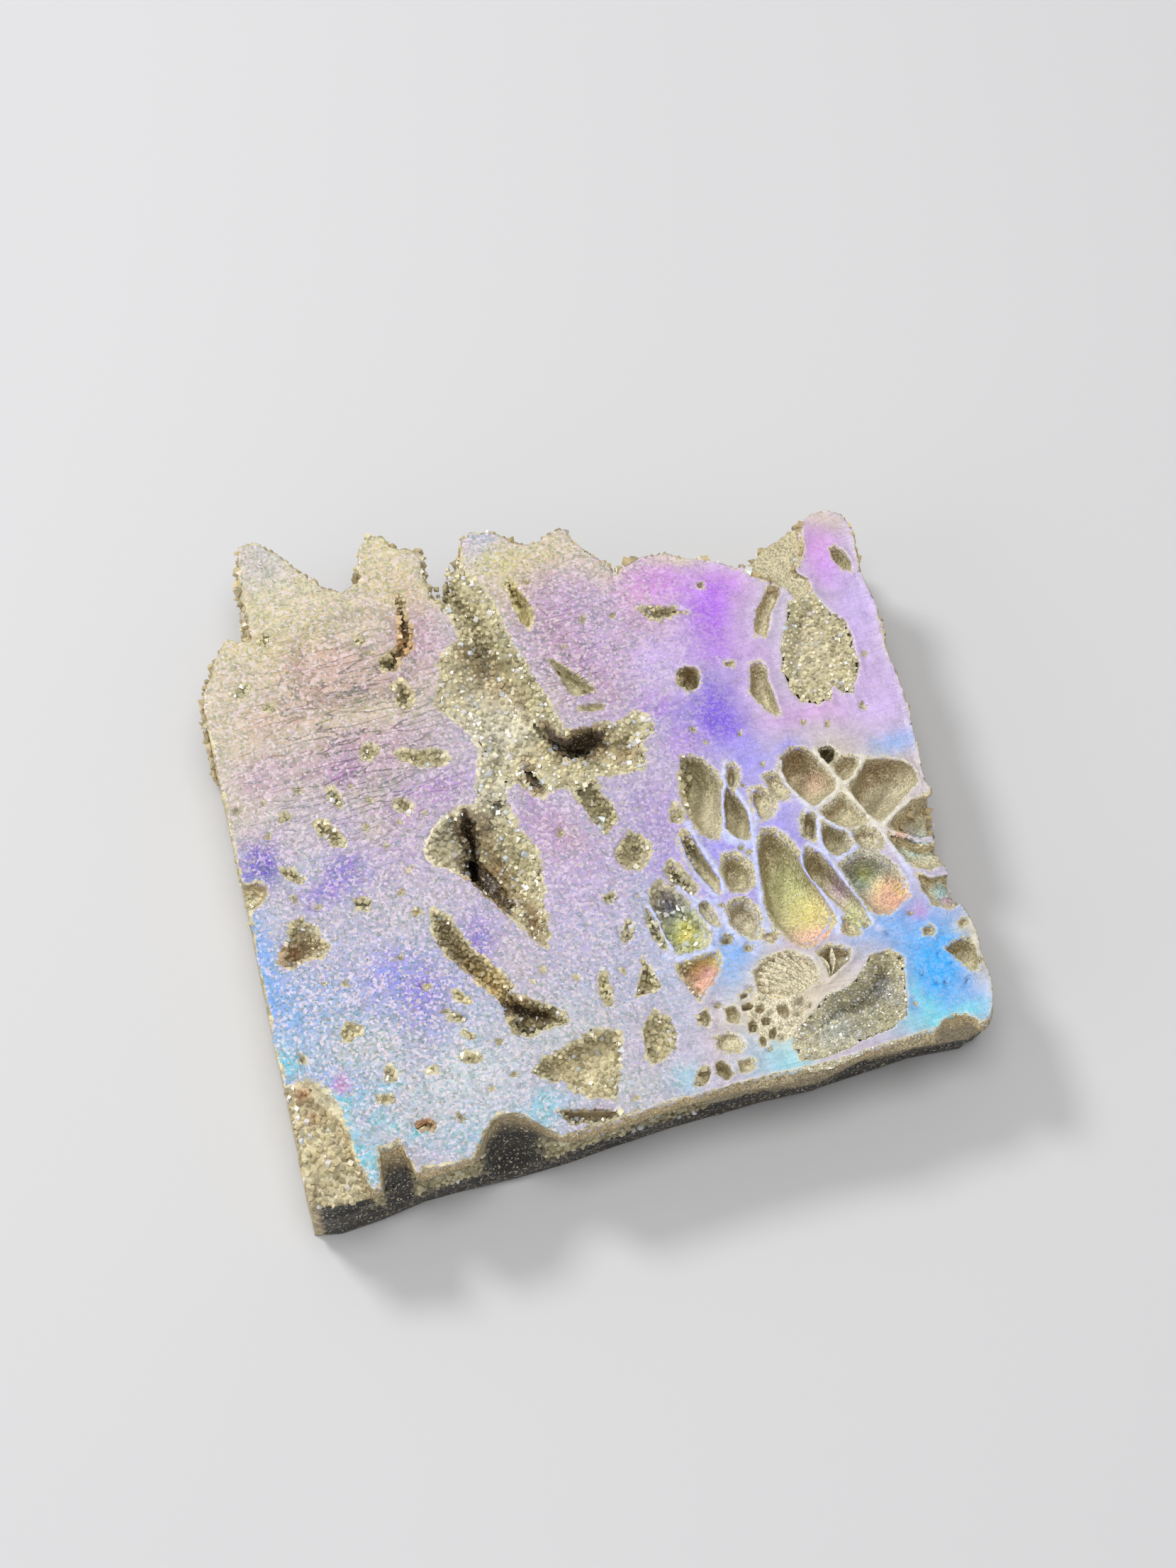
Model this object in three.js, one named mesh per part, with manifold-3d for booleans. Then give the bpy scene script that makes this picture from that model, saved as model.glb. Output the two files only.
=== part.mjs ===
// A slab of druse-lined sphalerite with a rainbow coating, built in millimetres.
//
// The slab lies on its sawn underside. +Z is up, +X runs along the straight front edge and +Y
// towards the ragged back edge, and the origin is under the middle of its outline. The top is a
// sawn plane at THICKNESS, opened by a branching hollow with two clefts, a long slot, druse
// pockets, a boxwork of thin-walled cells on the right and many small vugs. The crystals that
// line each large hollow are a crust of their own, a hair clear of the stone that carries it.

import * as THREE from "three";
import { mergeVertices } from "three/addons/utils/BufferGeometryUtils.js";
import Module from "manifold-3d";

const wasm = await Module();
wasm.setup();

// ---------------------------------------------------------------- driving dimensions

const THICKNESS = 15; // from the underside to the sawn top
const CUT_ABOVE = 0.6; // how far a pit's cutter stands above the surface it opens
const THROUGH = THICKNESS + 1; // depth of a cleft that goes right through
const SHOULDER = 0.55; // share of a pit's depth at which its wall bends into its floor
const SHOULDER_INSET = 0.3; // share of the wall's whole slant that lies above the shoulder
const BENT_FROM = 3.3; // pits shallower than this have a straight wall
const SMALL_VUG = 1.1; // a vug no longer than this has fewer corners
const VUG_FLOOR = 0.5; // share of a vug's width at its floor
const LEAST_SQUARENESS = 0.35; // how slantwise a ring's points may move as it is drawn in

const CRUST_GAP = 0.35; // clearance between a crust and the stone under it
const CRUST_INSET = 0.5; // the same clearance, measured sideways from the hollow's wall
const CRUST_THICKNESS = 1.1;
const CRUST_BELOW_TOP = 0.4; // a crust's edge stays this far under the sawn top
const CLEFT_MARGIN = 0.7; // how far a crust stays back from the lip of a cleft
const CRYSTAL_PITCH = 3.5; // spacing of the crust's modelled crystals
const CRYSTAL_RADIUS = 1.4;
const CRYSTAL_HEIGHT = 1.7;
const CRYSTAL_SINK = 0.35; // how deep a crystal's foot stands in what carries it
const CRYSTAL_SIDES = 4;
const FLANK_CRYSTAL_STEP = 5; // a flank crystal stands at every so many points of the outline
const FLANK_CRYSTAL_SCALE = 1.25; // the crystals of the back flank against those of the crusts

// ---------------------------------------------------------------- outline and flanks

// The sawn top's outline, anticlockwise from the front left corner.
const FRONT_EDGE = [
  [-41.1, -40.9], [-38, -41.6], [-33.4, -41.3], [-28, -40.6], [-23, -40.7], [-17, -41],
  [-11.5, -41], [-5.5, -40.6], [0, -40.3], [6, -40.3], [12, -40.3], [18, -40.7], [24, -40.4],
  [30, -40.1], [36.6, -40.8],
];
const RIGHT_EDGE = [
  [38, -39.6], [38.8, -37.2], [39.1, -35.4], [38.9, -33.8], [39.4, -30.4], [39.2, -28],
  [38.3, -24.6], [38.6, -22], [38.3, -18], [38.9, -15], [39.8, -12], [39.8, -8.6], [40.3, -5],
  [40.7, 0], [40.8, 4], [40.6, 7], [41, 11], [41.3, 14.2], [40.8, 18], [41.4, 21.8], [41.7, 23.8],
  [41.1, 26.2],
];
const BACK_EDGE = [
  [39.8, 27.1], [37.8, 27], [35.4, 26.1], [33.6, 25.4], [31.9, 25.3], [30, 24.6], [28.4, 23.2],
  [26.9, 22.3], [25.4, 23.6], [22.8, 24.9], [21, 25.4], [19.8, 26.5], [16.6, 27], [13.6, 26.1],
  [12.8, 25.2], [12.2, 27.3], [11, 28.4], [10.2, 30], [9.2, 31], [8.7, 33.1], [6.6, 33], [4.8, 32],
  [2.8, 32.6], [0.6, 34.8], [-2.1, 35.8], [-3.7, 35.1], [-4.2, 33.2], [-5.3, 31.4], [-6.4, 28.7],
  [-7.6, 27.6], [-8.9, 28.4], [-9, 31], [-8.9, 34.7], [-11.6, 36], [-12.6, 38.4], [-14, 38.7],
  [-15.6, 37], [-16.5, 34.4], [-16.3, 33.1], [-19.1, 32.1], [-20.8, 33.2], [-22.2, 35],
  [-23.8, 37.2], [-25.4, 39.5], [-27.8, 41.6], [-29.4, 41.2], [-29.8, 38.6], [-30.4, 35.2],
  [-30.6, 31.6], [-31, 28.4], [-33.6, 29.7], [-35.4, 27.6], [-36.5, 25], [-37.9, 23.2],
];
const LEFT_EDGE = [
  [-38.3, 20], [-38.6, 12], [-39, 4], [-39.4, -6], [-39.9, -13], [-40.3, -22], [-40.6, -30],
  [-40.9, -37],
];
const OUTLINE = [...FRONT_EDGE, ...RIGHT_EDGE, ...BACK_EDGE, ...LEFT_EDGE];

// How far each level of the flanks stands in from the outline: [height, front, back, right].
// The sawn left flank stays plumb.
const FLANK_LEVELS = [
  [0, 1.5, 1.4, 1.0],
  [5.4, 1.0, -0.4, -0.4],
  [11.2, 1.6, 0.8, 0.5],
  [13.7, -0.6, 0.3, 0],
  [THICKNESS, 0, 0, 0],
];
const UNDERCUT_TO_RIGHT = 1.1; // extra share of the front's undercut at the right end
const FLANK_ROUGHNESS = 0.45;
const HALF_WIDTH = 41; // from the middle to the front, left and right edges
const BACK_BEGINS = [16, 24]; // the back flank's shift fades in between these distances
const FLANK_REACH = 9; // how far inwards of an edge the flank's shift fades out

// ---------------------------------------------------------------- hollows of the top
//
// Each hollow has rims, drawn anticlockwise or clockwise around a middle that sees every point.
// depth is under the top, floor the floor's share of the rim's width, lean how far the floor is
// moved sideways, and dip how much deeper the floor lies per millimetre along x and y.

const MAIN_HOLLOW = [
  // the valley that opens at the back edge
  {
    rim: [
      [-9, 29.6], [-7.4, 26.6], [-7, 24.8], [-6.6, 23], [-7, 20.6], [-6.4, 17], [-4.4, 13], [-1.4, 12.6],
      [-0.4, 16], [-1.2, 18.4], [-1.8, 21], [-2.1, 23.6], [-2.3, 26.4], [-3.6, 29], [-5, 32.4], [-7.4, 32],
    ],
    depth: 6.2, floor: 0.42, lean: [-1.1, 0.6],
  },
  // the wide basin in the middle
  {
    rim: [
      [-6.9, 22.2], [-9.9, 20.4], [-10.5, 17.5], [-12.1, 14.6], [-10.4, 12.2], [-8.7, 9.6], [-8.3, 7],
      [-9.4, 5.4], [-9.8, 1.4], [-7.8, 1.8], [-6, 2.6], [-3, 0.4], [0, 0.2], [2.6, 0.7], [3.4, 3],
      [1.4, 6.6], [0.8, 9], [0.3, 12], [-0.6, 15], [-3, 18.4],
    ],
    depth: 3.9, floor: 0.6,
  },
  // the right lobe
  {
    rim: [
      [0.4, 7], [3.6, 6.9], [6, 6.8], [7.6, 6.1], [9.8, 7], [11, 6.5], [11.4, 4.6], [9.2, 3.6], [9.3, 1.2],
      [8.6, 0.3], [7, 0.5], [5, 0.3], [2.4, 1.4], [0.2, 3.4],
    ],
    depth: 4.2, floor: 0.62,
  },
  // the tail towards the boxwork
  {
    rim: [
      [-0.2, 1.2], [0.6, -2], [1.2, -4], [1.6, -5.6], [2.4, -7.1], [3.8, -6.2], [4.4, -4.8], [3.9, -3],
      [3.1, -1.6], [2.8, 1.6],
    ],
    depth: 3.4, floor: 0.5,
  },
];
const NECK = {
  rim: [
    [-10, 3.2], [-7.8, 2.8], [-7.6, 0], [-7.7, -2.6], [-10.6, -2.8], [-10.6, 0.6],
  ],
  depth: 3.6,
};
const LOWER_CHAMBER = [
  {
    rim: [
      [-10, 0.3], [-12, 0.8], [-13.8, 0.6], [-15.6, -0.2], [-17.6, -2], [-18.2, -3.8], [-17.6, -5.3],
      [-16, -6.2], [-15.1, -7.2], [-13.6, -9.3], [-12.2, -11], [-11, -13.2], [-9.8, -15.2], [-8.8, -17.2],
      [-8, -18.6], [-7.3, -17.4], [-7.3, -14.6], [-6.4, -11.6], [-5.8, -9], [-6, -6.2], [-7.2, -3.8],
      [-7.6, -1.6],
    ],
    depth: 6.4, floor: 0.42, lean: [-0.9, 0.4],
  },
];
const SLOT = [
  {
    rim: [
      [-19.2, -10.5], [-19.8, -12.5], [-19.7, -14.6], [-18.8, -16.8], [-17.3, -19], [-16, -21.4],
      [-14.7, -23.4], [-14.1, -25.4], [-12.4, -25.2], [-12.9, -22.2], [-13.6, -20.2], [-15, -18],
      [-16.3, -16.2], [-17, -14.2], [-17.6, -12.2],
    ],
    depth: 5.4, floor: 0.55, lean: [-0.3, -0.3],
  },
  {
    rim: [
      [-14.2, -23.8], [-12.4, -23.8], [-10.6, -24.9], [-9.2, -25.8], [-8.3, -27], [-8, -28.1],
      [-10.5, -28.1], [-12.5, -28.6], [-14.3, -27.8], [-14.5, -26],
    ],
    depth: 4.2, floor: 0.6,
  },
];
const CORNER_POCKET = [
  {
    rim: [
      [31.4, 16.4], [34.6, 16.8], [35.6, 14], [37, 12.2], [37.4, 10.2], [37, 7.6], [37.1, 6], [36, 4.4],
      [35, 2.7], [34, 3], [33.4, 4.3], [32.8, 4], [32.4, 2.6], [30.6, 2.3], [28.8, 3.2], [28.1, 5.2],
      [28, 7.8], [28.7, 10.4], [30, 13],
    ],
    depth: 3.0, floor: 0.86,
  },
];
const FRONT_POCKET = [
  {
    rim: [
      [26.8, -29.6], [29, -29.5], [30.4, -30.7], [29.8, -33], [29.3, -35.4], [28.6, -37.4], [26.6, -38.7],
      [23, -39.2], [20.6, -39.9], [17.6, -40.2], [15.3, -39.9], [15.1, -38], [15.9, -36.2], [18.4, -34.5],
      [20.6, -32.9], [23.2, -32.6], [25, -31.6],
    ],
    depth: 3.6, floor: 0.72, dip: [0.02, 0.16],
  },
];

// Deep openings in those hollows: two clefts that reach the underside, and dark holes.
const CLEFTS = [
  {
    rim: [
      [-12.5, 0.1], [-13.1, -0.9], [-13.9, -1.8], [-13.5, -4.2], [-14.2, -5.8], [-15.1, -7.1],
      [-14.1, -8.5], [-13, -10.1], [-11.9, -11.7], [-11, -13.2], [-10.6, -12], [-11.7, -9.8],
      [-12.1, -7.2], [-12.7, -5.2], [-12.1, -3.4], [-12, -1.4],
    ],
    depth: THROUGH, floor: 0.7,
  },
  {
    rim: [
      [-14.1, -24.3], [-12.5, -24.9], [-11.3, -26], [-9.6, -26.8], [-8.8, -27.6], [-10.2, -27.6],
      [-12.3, -27.1], [-13.6, -26.2],
    ],
    depth: THROUGH, floor: 0.6,
  },
  {
    rim: [
      [-1.2, 8.9], [-0.5, 9], [0, 7.8], [1, 6.6], [2.6, 6.6], [4.7, 6.4], [5.7, 6], [4.3, 4.6], [3, 3.8],
      [0.7, 3.9], [-0.1, 5], [-0.8, 7],
    ],
    depth: 10.6, floor: 0.5,
  },
  {
    rim: [
      [-5, 3.7], [-4.3, 3], [-3.5, 1.8], [-3, 0.6], [-3.5, 0.1], [-4.5, 0.9], [-5.1, 2],
    ],
    depth: 7, floor: 0.5,
  },
];

// Notches that the front flank opens into, and one nick in the left corner.
const NOTCHES = [
  {
    rim: [
      [-33.2, -43.4], [-32.9, -41], [-32.6, -39], [-32.2, -37], [-31.8, -35], [-31, -34.2], [-30.2, -35.6],
      [-29.6, -37.4], [-29.3, -39], [-29, -41], [-28.6, -43.4],
    ],
    depth: 7.4, floor: 0.6, dip: [0, -0.35],
  },
  {
    rim: [
      [-24, -43.6], [-22.6, -41.2], [-21.4, -39.6], [-20.5, -38.2], [-19.5, -37.3], [-18.4, -36.6],
      [-16.9, -37], [-15.7, -37.7], [-14.5, -38.9], [-13.2, -40.4], [-12, -41.8], [-11.4, -43.6],
    ],
    depth: 11, floor: 0.74,
  },
  {
    rim: [
      [-12.1, -37.9], [-10, -38.6], [-7.8, -39.1], [-5.6, -39.7], [-5, -40.3], [-7, -40.5], [-9, -40.2],
      [-11, -39.8],
    ],
    depth: 4.2, floor: 0.55,
  },
  {
    rim: [[30.6, -42.4], [30.8, -40.2], [31.8, -39.2], [33.4, -38.8], [35, -39.1], [36, -40], [36.4, -42.4]],
    depth: 2.2, floor: 0.6, dip: [0, -0.25],
  },
  {
    rim: [
      [-42.4, -38.2], [-40.6, -38.7], [-39.8, -39.3], [-40.6, -39.9], [-42.4, -40.2],
    ],
    depth: 5, floor: 0.7,
  },
];

// Druse-floored pockets whose crystals are too fine to stand as a crust.
const POCKETS = [
  // the sunken front left corner
  {
    rim: [
      [-43, -27], [-40, -26.7], [-38, -27.5], [-37.1, -29.4], [-36.3, -31], [-35.3, -32.4], [-35, -35],
      [-34.8, -37.4], [-34.2, -39.6], [-33.6, -43], [-43, -43.6],
    ],
    depth: 1.5, floor: 0.85, dip: [-0.09, -0.07],
  },
  // two druse flats by the back right corner
  {
    rim: [
      [27.4, 21.4], [28, 24.2], [32, 27], [36.6, 28], [36, 25.6], [35.4, 22.4], [33.4, 20.9], [33.4, 19.4],
      [34.8, 18.2], [34.4, 16.4], [32.4, 16.2], [31.6, 18], [30, 19.2],
    ],
    depth: 0.9, floor: 0.88,
  },
  {
    rim: [
      [30.4, 20.2], [28.9, 18], [27.4, 16.2], [26.5, 14.4], [26.2, 12.7], [27.2, 12], [28.1, 13.4],
      [29.2, 15.8], [31.4, 18.4],
    ],
    depth: 1.4, floor: 0.6,
  },
  {
    rim: [
      [24.6, 10], [26, 10.1], [26.6, 9], [26.1, 7.2], [26.3, 4.8], [26.2, 2], [25.6, 1.9], [24.7, 3.2],
      [23.4, 6], [24, 7.8],
    ],
    depth: 2.4, floor: 0.55,
  },
  // the wide pocket behind the front edge and its neighbour
  {
    rim: [
      [-13.9, -32.7], [-12, -31.3], [-9.6, -31.1], [-6.8, -30], [-4.8, -29.8], [-2.5, -30.5], [-3, -33],
      [-4.2, -35.8], [-5.4, -38.6], [-7.4, -38], [-9.9, -36.6], [-10.4, -35], [-12.6, -33.9],
    ],
    depth: 2.2, floor: 0.72, dip: [0.03, 0.08],
  },
  {
    rim: [
      [1.6, -29.1], [3.1, -30.5], [3.4, -32.6], [2.7, -34.4], [1.1, -35.5], [-0.6, -35.9], [-1, -34.6],
      [-0.7, -33], [-0.6, -31], [0.5, -29.9],
    ],
    depth: 1.9, floor: 0.6,
  },
  // by the left edge
  {
    rim: [
      [-35.3, -7.6], [-33.7, -7.1], [-32.7, -9], [-31.3, -12], [-32.6, -12.9], [-34.6, -12.7],
      [-36.2, -13.5], [-37.5, -12.3], [-36.8, -10.6], [-35.6, -9.4],
    ],
    depth: 3.2, floor: 0.5, dip: [-0.1, -0.15],
  },
  {
    rim: [
      [-41, -1.8], [-37.2, -1.7], [-36.3, -2.9], [-37, -4.2], [-38.4, -4.9], [-41, -5],
    ],
    depth: 2.2, floor: 0.6,
  },
  // the long shallow trough and the pit behind it
  {
    rim: [
      [-18.9, 9.8], [-17.3, 10.1], [-15.9, 9.1], [-14.6, 9.4], [-13, 8.8], [-11.8, 7.2], [-13, 6.5],
      [-15.1, 6.9], [-17.2, 7.9],
    ],
    depth: 1.3, floor: 0.6,
  },
  {
    rim: [
      [-16.8, 18.6], [-15.3, 18.9], [-14.5, 17.6], [-14.4, 15.9], [-15.3, 14.9], [-16.6, 15.4],
      [-16.2, 17],
    ],
    depth: 2.6, floor: 0.5,
  },
  // the crack in the second horn and the hole at its foot
  {
    rim: [
      [-12.9, 30.2], [-12.1, 29.4], [-12.3, 27], [-12.1, 24.6], [-13, 22.4], [-14.2, 22.6],
      [-13.9, 24.6], [-13.4, 27],
    ],
    depth: 5, floor: 0.4, lean: [-0.3, 0],
  },
  {
    rim: [
      [-13, 23.6], [-12.8, 22.6], [-14.4, 21.6], [-15.4, 20.1], [-16.9, 20.5], [-17.2, 21.8],
      [-16.2, 22.4], [-14.4, 23.2],
    ],
    depth: 6, floor: 0.5,
  },
  // wedge-shaped moulds left by blades in the middle mass
  {
    rim: [
      [0.4, 29.2], [1.1, 27.4], [2, 25], [2.2, 23], [1.6, 21.6], [1, 21], [0.4, 22.4], [0, 25.4],
      [-0.3, 27.6],
    ],
    depth: 2.9, floor: 0.6, lean: [-0.2, 0],
  },
  {
    rim: [
      [2, 17.1], [3, 16.1], [4.9, 13.7], [6.7, 10.8], [4.9, 10.9], [3.4, 11.2], [2.7, 13.8],
    ],
    depth: 2.4, floor: 0.6,
  },
  // the druse trough under the back edge
  {
    rim: [
      [13.2, 20.8], [14.9, 20.4], [16.4, 20], [18.4, 19.5], [20.8, 17.8], [18.6, 18.2], [16.2, 18],
      [14.8, 18.4],
    ],
    depth: 1.4, floor: 0.5,
  },
  {
    rim: [
      [16, 11], [17.2, 11.4], [18.5, 10.9], [18.6, 9.6], [17.9, 8.3], [16.6, 8.2], [15.8, 9.4],
    ],
    depth: 4.4, floor: 0.5,
  },
  // between the hollow and the boxwork
  {
    rim: [
      [5, -7.1], [6.1, -8.1], [6.8, -9.8], [6.1, -11], [5, -12], [3.5, -11.8], [2.7, -10.6],
      [2.7, -9.2], [3.7, -8.4],
    ],
    depth: 2.4, floor: 0.55,
  },
  { rim: [[2.1, -22.5], [2.8, -24.4], [3.2, -27.1], [0, -27.3], [1, -25.4]], depth: 2.2, floor: 0.55 },
  { rim: [[1.8, -17.5], [2.5, -18.6], [1.7, -20.4], [0.4, -20.7], [0.5, -19.3]], depth: 1.5, floor: 0.5 },
];

// The boxwork: thin-walled cells, each deepest under its back left wall.
const BOXWORK_DIP = [-0.11, 0.13];
const BOXWORK = [
  {
    rim: [
      [13.3, 0.2], [14.4, 0.1], [15.6, -0.7], [16.4, -2.3], [16.8, -4], [16, -7.2], [15.2, -9.8],
      [14.4, -10.8], [13.3, -10], [12.5, -8], [12.2, -5.4], [12.5, -2.4],
    ],
    depth: 4,
  },
  {
    rim: [
      [17.4, -4.8], [18.2, -6.5], [18.8, -8.4], [18.6, -10.3], [18, -11.8], [16.8, -11.4], [16, -9.8],
      [16.3, -7.4], [16.8, -5.9],
    ],
    depth: 3.4,
  },
  {
    rim: [
      [20, -6.1], [21, -6.1], [22, -7.2], [22.2, -8.7], [21.2, -9.8], [19.8, -10], [19.6, -8],
    ],
    depth: 1.3,
  },
  { rim: [[22.1, -4.7], [23.2, -4.8], [23.8, -6.1], [24.1, -7.5], [23.4, -8.2], [22.5, -7.4]], depth: 1.3 },
  {
    rim: [
      [26, -2.2], [27.2, -2.4], [28.2, -4], [29, -5.6], [29.6, -7.4], [29.6, -8.7], [27.2, -9.8],
      [26.3, -9.7], [25.3, -8.3], [24.5, -6.4], [24.1, -4.6], [24.7, -3.1],
    ],
    depth: 4,
  },
  { rim: [[28.9, -3.3], [30, -3.2], [30.8, -3.8], [30.4, -4.7], [29.6, -5.1], [29.2, -4.2]], depth: 7 },
  {
    rim: [
      [30.2, -5.5], [31.6, -4.8], [33, -5.2], [32.9, -6.3], [31.8, -7.2], [30.9, -7.8], [30.3, -6.8],
    ],
    depth: 2.2,
  },
  {
    rim: [
      [34, -5.9], [36, -6.4], [38, -7.3], [39, -8.4], [39, -10.4], [37, -11.5], [35, -12.6],
      [33.2, -13.6], [32.3, -12.8], [31.5, -11], [31, -9.1], [31.8, -8.1], [33, -6.9],
    ],
    depth: 4.6,
  },
  {
    rim: [
      [26.9, -10.9], [28.6, -10.2], [30.2, -9.3], [30.9, -11], [31.6, -12.8], [31.5, -13.7],
      [30, -13.6], [28.4, -13], [27.3, -12],
    ],
    depth: 2.2,
  },
  {
    rim: [
      [25.4, -10.4], [26.2, -11.3], [25.8, -12.5], [25.1, -14], [24.4, -13.1], [24.7, -11.4],
    ],
    depth: 3,
  },
  {
    rim: [
      [26.7, -12.2], [27.7, -13.1], [28.7, -14], [28.9, -15.4], [28.6, -16.6], [27.4, -16.7],
      [26.4, -15.8], [25.9, -14.3],
    ],
    depth: 3,
  },
  {
    rim: [
      [19.8, -11.4], [20.9, -11.8], [21.9, -13], [22.6, -15], [22.9, -17.8], [23.8, -20.4],
      [24.5, -22.6], [24.3, -24.8], [22.6, -26.2], [20.4, -26.9], [19.2, -25.6], [17.9, -23.2],
      [17.4, -20.6], [17.9, -17.4], [18.3, -14],
    ],
    depth: 3.4,
  },
  {
    rim: [
      [14.7, -13.3], [15.8, -13.3], [16.7, -14.4], [17.1, -15.8], [16.7, -17.4], [15.6, -18],
      [14.4, -17.6], [13.8, -16.4], [14, -14.6],
    ],
    depth: 3,
  },
  {
    rim: [
      [13.2, -19.4], [14.3, -18.9], [15.3, -19.2], [16.1, -20.6], [16.1, -22.4], [15.2, -24],
      [13.9, -23], [13, -21.4],
    ],
    depth: 2.8,
  },
  {
    rim: [
      [24, -14.7], [25, -15.4], [25.8, -17], [26.4, -19], [27.2, -21.2], [28, -23], [28.6, -24.9],
      [28.6, -26.5], [28, -26.8], [27.1, -25.4], [26.2, -23.8], [24.6, -21], [23.4, -18.6],
      [22.9, -16.6], [23.2, -15.3],
    ],
    depth: 3,
  },
  { rim: [[25.2, -24.2], [26, -24.5], [26.7, -25.7], [26.9, -26.8], [25.8, -26.8], [25, -26]], depth: 1.2 },
  {
    rim: [
      [27, -18], [28.4, -17.3], [30, -17.1], [31.6, -17.9], [32.8, -19.8], [33.6, -22], [33.5, -24],
      [32, -24.8], [30.7, -25.6], [29.3, -25], [28.5, -23.2], [27.7, -20.6],
    ],
    depth: 3,
  },
  { rim: [[29.5, -14.4], [31, -14.3], [32.4, -15], [32.6, -16.8], [31.4, -17.2], [30, -16.4]], depth: 1.3 },
  {
    rim: [
      [33.7, -14.6], [35.4, -13.3], [37.6, -12.2], [41.4, -11.6], [41, -16], [38.6, -17.6], [36.8, -17],
      [35, -15.8],
    ],
    depth: 3.2,
  },
  {
    rim: [
      [33.2, -15.6], [34.6, -16.3], [36.4, -17.9], [40.6, -18.4], [40.6, -21.2], [36.8, -21.6],
      [35.2, -20.6], [34, -18.6],
    ],
    depth: 1.7,
  },
  {
    rim: [
      [34.9, -21.2], [36.8, -22.4], [40.4, -22.3], [40.4, -25.8], [37.2, -26.8], [35.6, -25.8],
      [35, -23.6],
    ],
    depth: 1.7,
  },
  {
    rim: [
      [35, -31], [36.2, -30.5], [37.6, -30.3], [38.7, -31.4], [38.6, -33.6], [38, -34.8], [37.2, -34.3],
      [36.3, -32.8],
    ],
    depth: 2.4,
  },
  {
    rim: [
      [21.2, -27.5], [22.6, -27.1], [24, -27.6], [25.1, -28.3], [24.6, -29.4], [23, -30.4],
      [21.6, -31.1], [21.6, -29.4],
    ],
    depth: 2.6,
  },
  { rim: [[14.7, -32.7], [16.1, -32.5], [16.2, -33.9], [15.4, -34.5], [14.8, -33.8]], depth: 2 },
  {
    rim: [
      [5.3, -15.1], [6.6, -14.3], [7.6, -15.4], [8.5, -17.2], [9.3, -19], [9.9, -21], [10.1, -22.7],
      [9.5, -23.5], [7.6, -23.8], [6.2, -23.8], [5.5, -22.4], [5.1, -20], [5, -17.4],
    ],
    depth: 3,
  },
  {
    rim: [
      [4.2, -17.3], [4.7, -18.8], [4.8, -20.8], [5.2, -22.8], [4.6, -22.4], [4, -20.8], [3.8, -19],
    ],
    depth: 2,
  },
  {
    rim: [
      [5.2, -24.7], [8, -24.4], [10.4, -24.2], [10.6, -25.4], [9.9, -27], [8.9, -28], [7.6, -29.1],
      [6.6, -30], [6.1, -28.6], [5.5, -26.6],
    ],
    depth: 2.2,
  },
  {
    rim: [
      [8.4, -12.2], [9.1, -13.2], [9.8, -15], [10.3, -16.4], [9.8, -16.9], [8.9, -16], [8.1, -14.6],
      [7.9, -13.1],
    ],
    depth: 2.2,
  },
  {
    rim: [
      [10.8, -8.8], [11.7, -9.6], [12.2, -11.8], [12.8, -14.2], [13.4, -16.2], [13.3, -17.4],
      [12.6, -17.6], [11.7, -16], [10.9, -14.2], [10.5, -12], [10.3, -10],
    ],
    depth: 2.8,
  },
  {
    rim: [
      [9.8, -18], [10.7, -17.8], [11, -19], [11.5, -21.4], [10.8, -21.5], [10.2, -20.4], [9.8, -19.2],
    ],
    depth: 1.2,
  },
  { rim: [[5.9, -31.3], [7.3, -30.7], [7.4, -32], [6.8, -32.8], [5.9, -32.4]], depth: 1.8 },
  { rim: [[9.2, -31.2], [10.4, -31.2], [10.8, -32.4], [10.2, -33.5], [9.1, -33]], depth: 1.8 },
  {
    rim: [
      [7, -34.2], [8.6, -34], [10, -34.8], [10.6, -36.2], [9.4, -37], [8, -36.6], [6.9, -35.8],
    ],
    depth: 0.9,
  },
  { rim: [[6.2, -37.4], [7, -37], [7.8, -38], [7.8, -39.2], [7, -39.7], [6.2, -38.7]], depth: 2.8 },
  { rim: [[3.2, -39.4], [4, -37.9], [5.2, -37.2], [5.8, -38], [5, -39], [4.2, -39.6]], depth: 1.8 },
  { rim: [[8.6, -37.8], [10.4, -37.6], [10.8, -38.8], [9.6, -39.5], [8.5, -39.2]], depth: 1 },
];

// The fan: one wide cell with blades left standing across it.
const FAN_CELL = {
  rim: [
    [13.4, -27.9], [15, -26.8], [16.8, -26.6], [18.6, -26.7], [20.4, -28], [21.1, -29.6], [20.4, -31.2],
    [18.4, -32], [16.6, -32], [14.4, -31.8], [13.2, -30.4],
  ],
  depth: 3.2,
};
const FAN_BLADES = [
  [[13.3, -27.6], [16.6, -31.4]],
  [[15, -26.6], [17.8, -31.6]],
  [[16.9, -26.4], [19.2, -31.4]],
  [[18.4, -26.5], [20.4, -30.6]],
];
const BLADE_THICKNESS = 0.42;
const BLADE_BELOW_TOP = 0.9;

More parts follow.
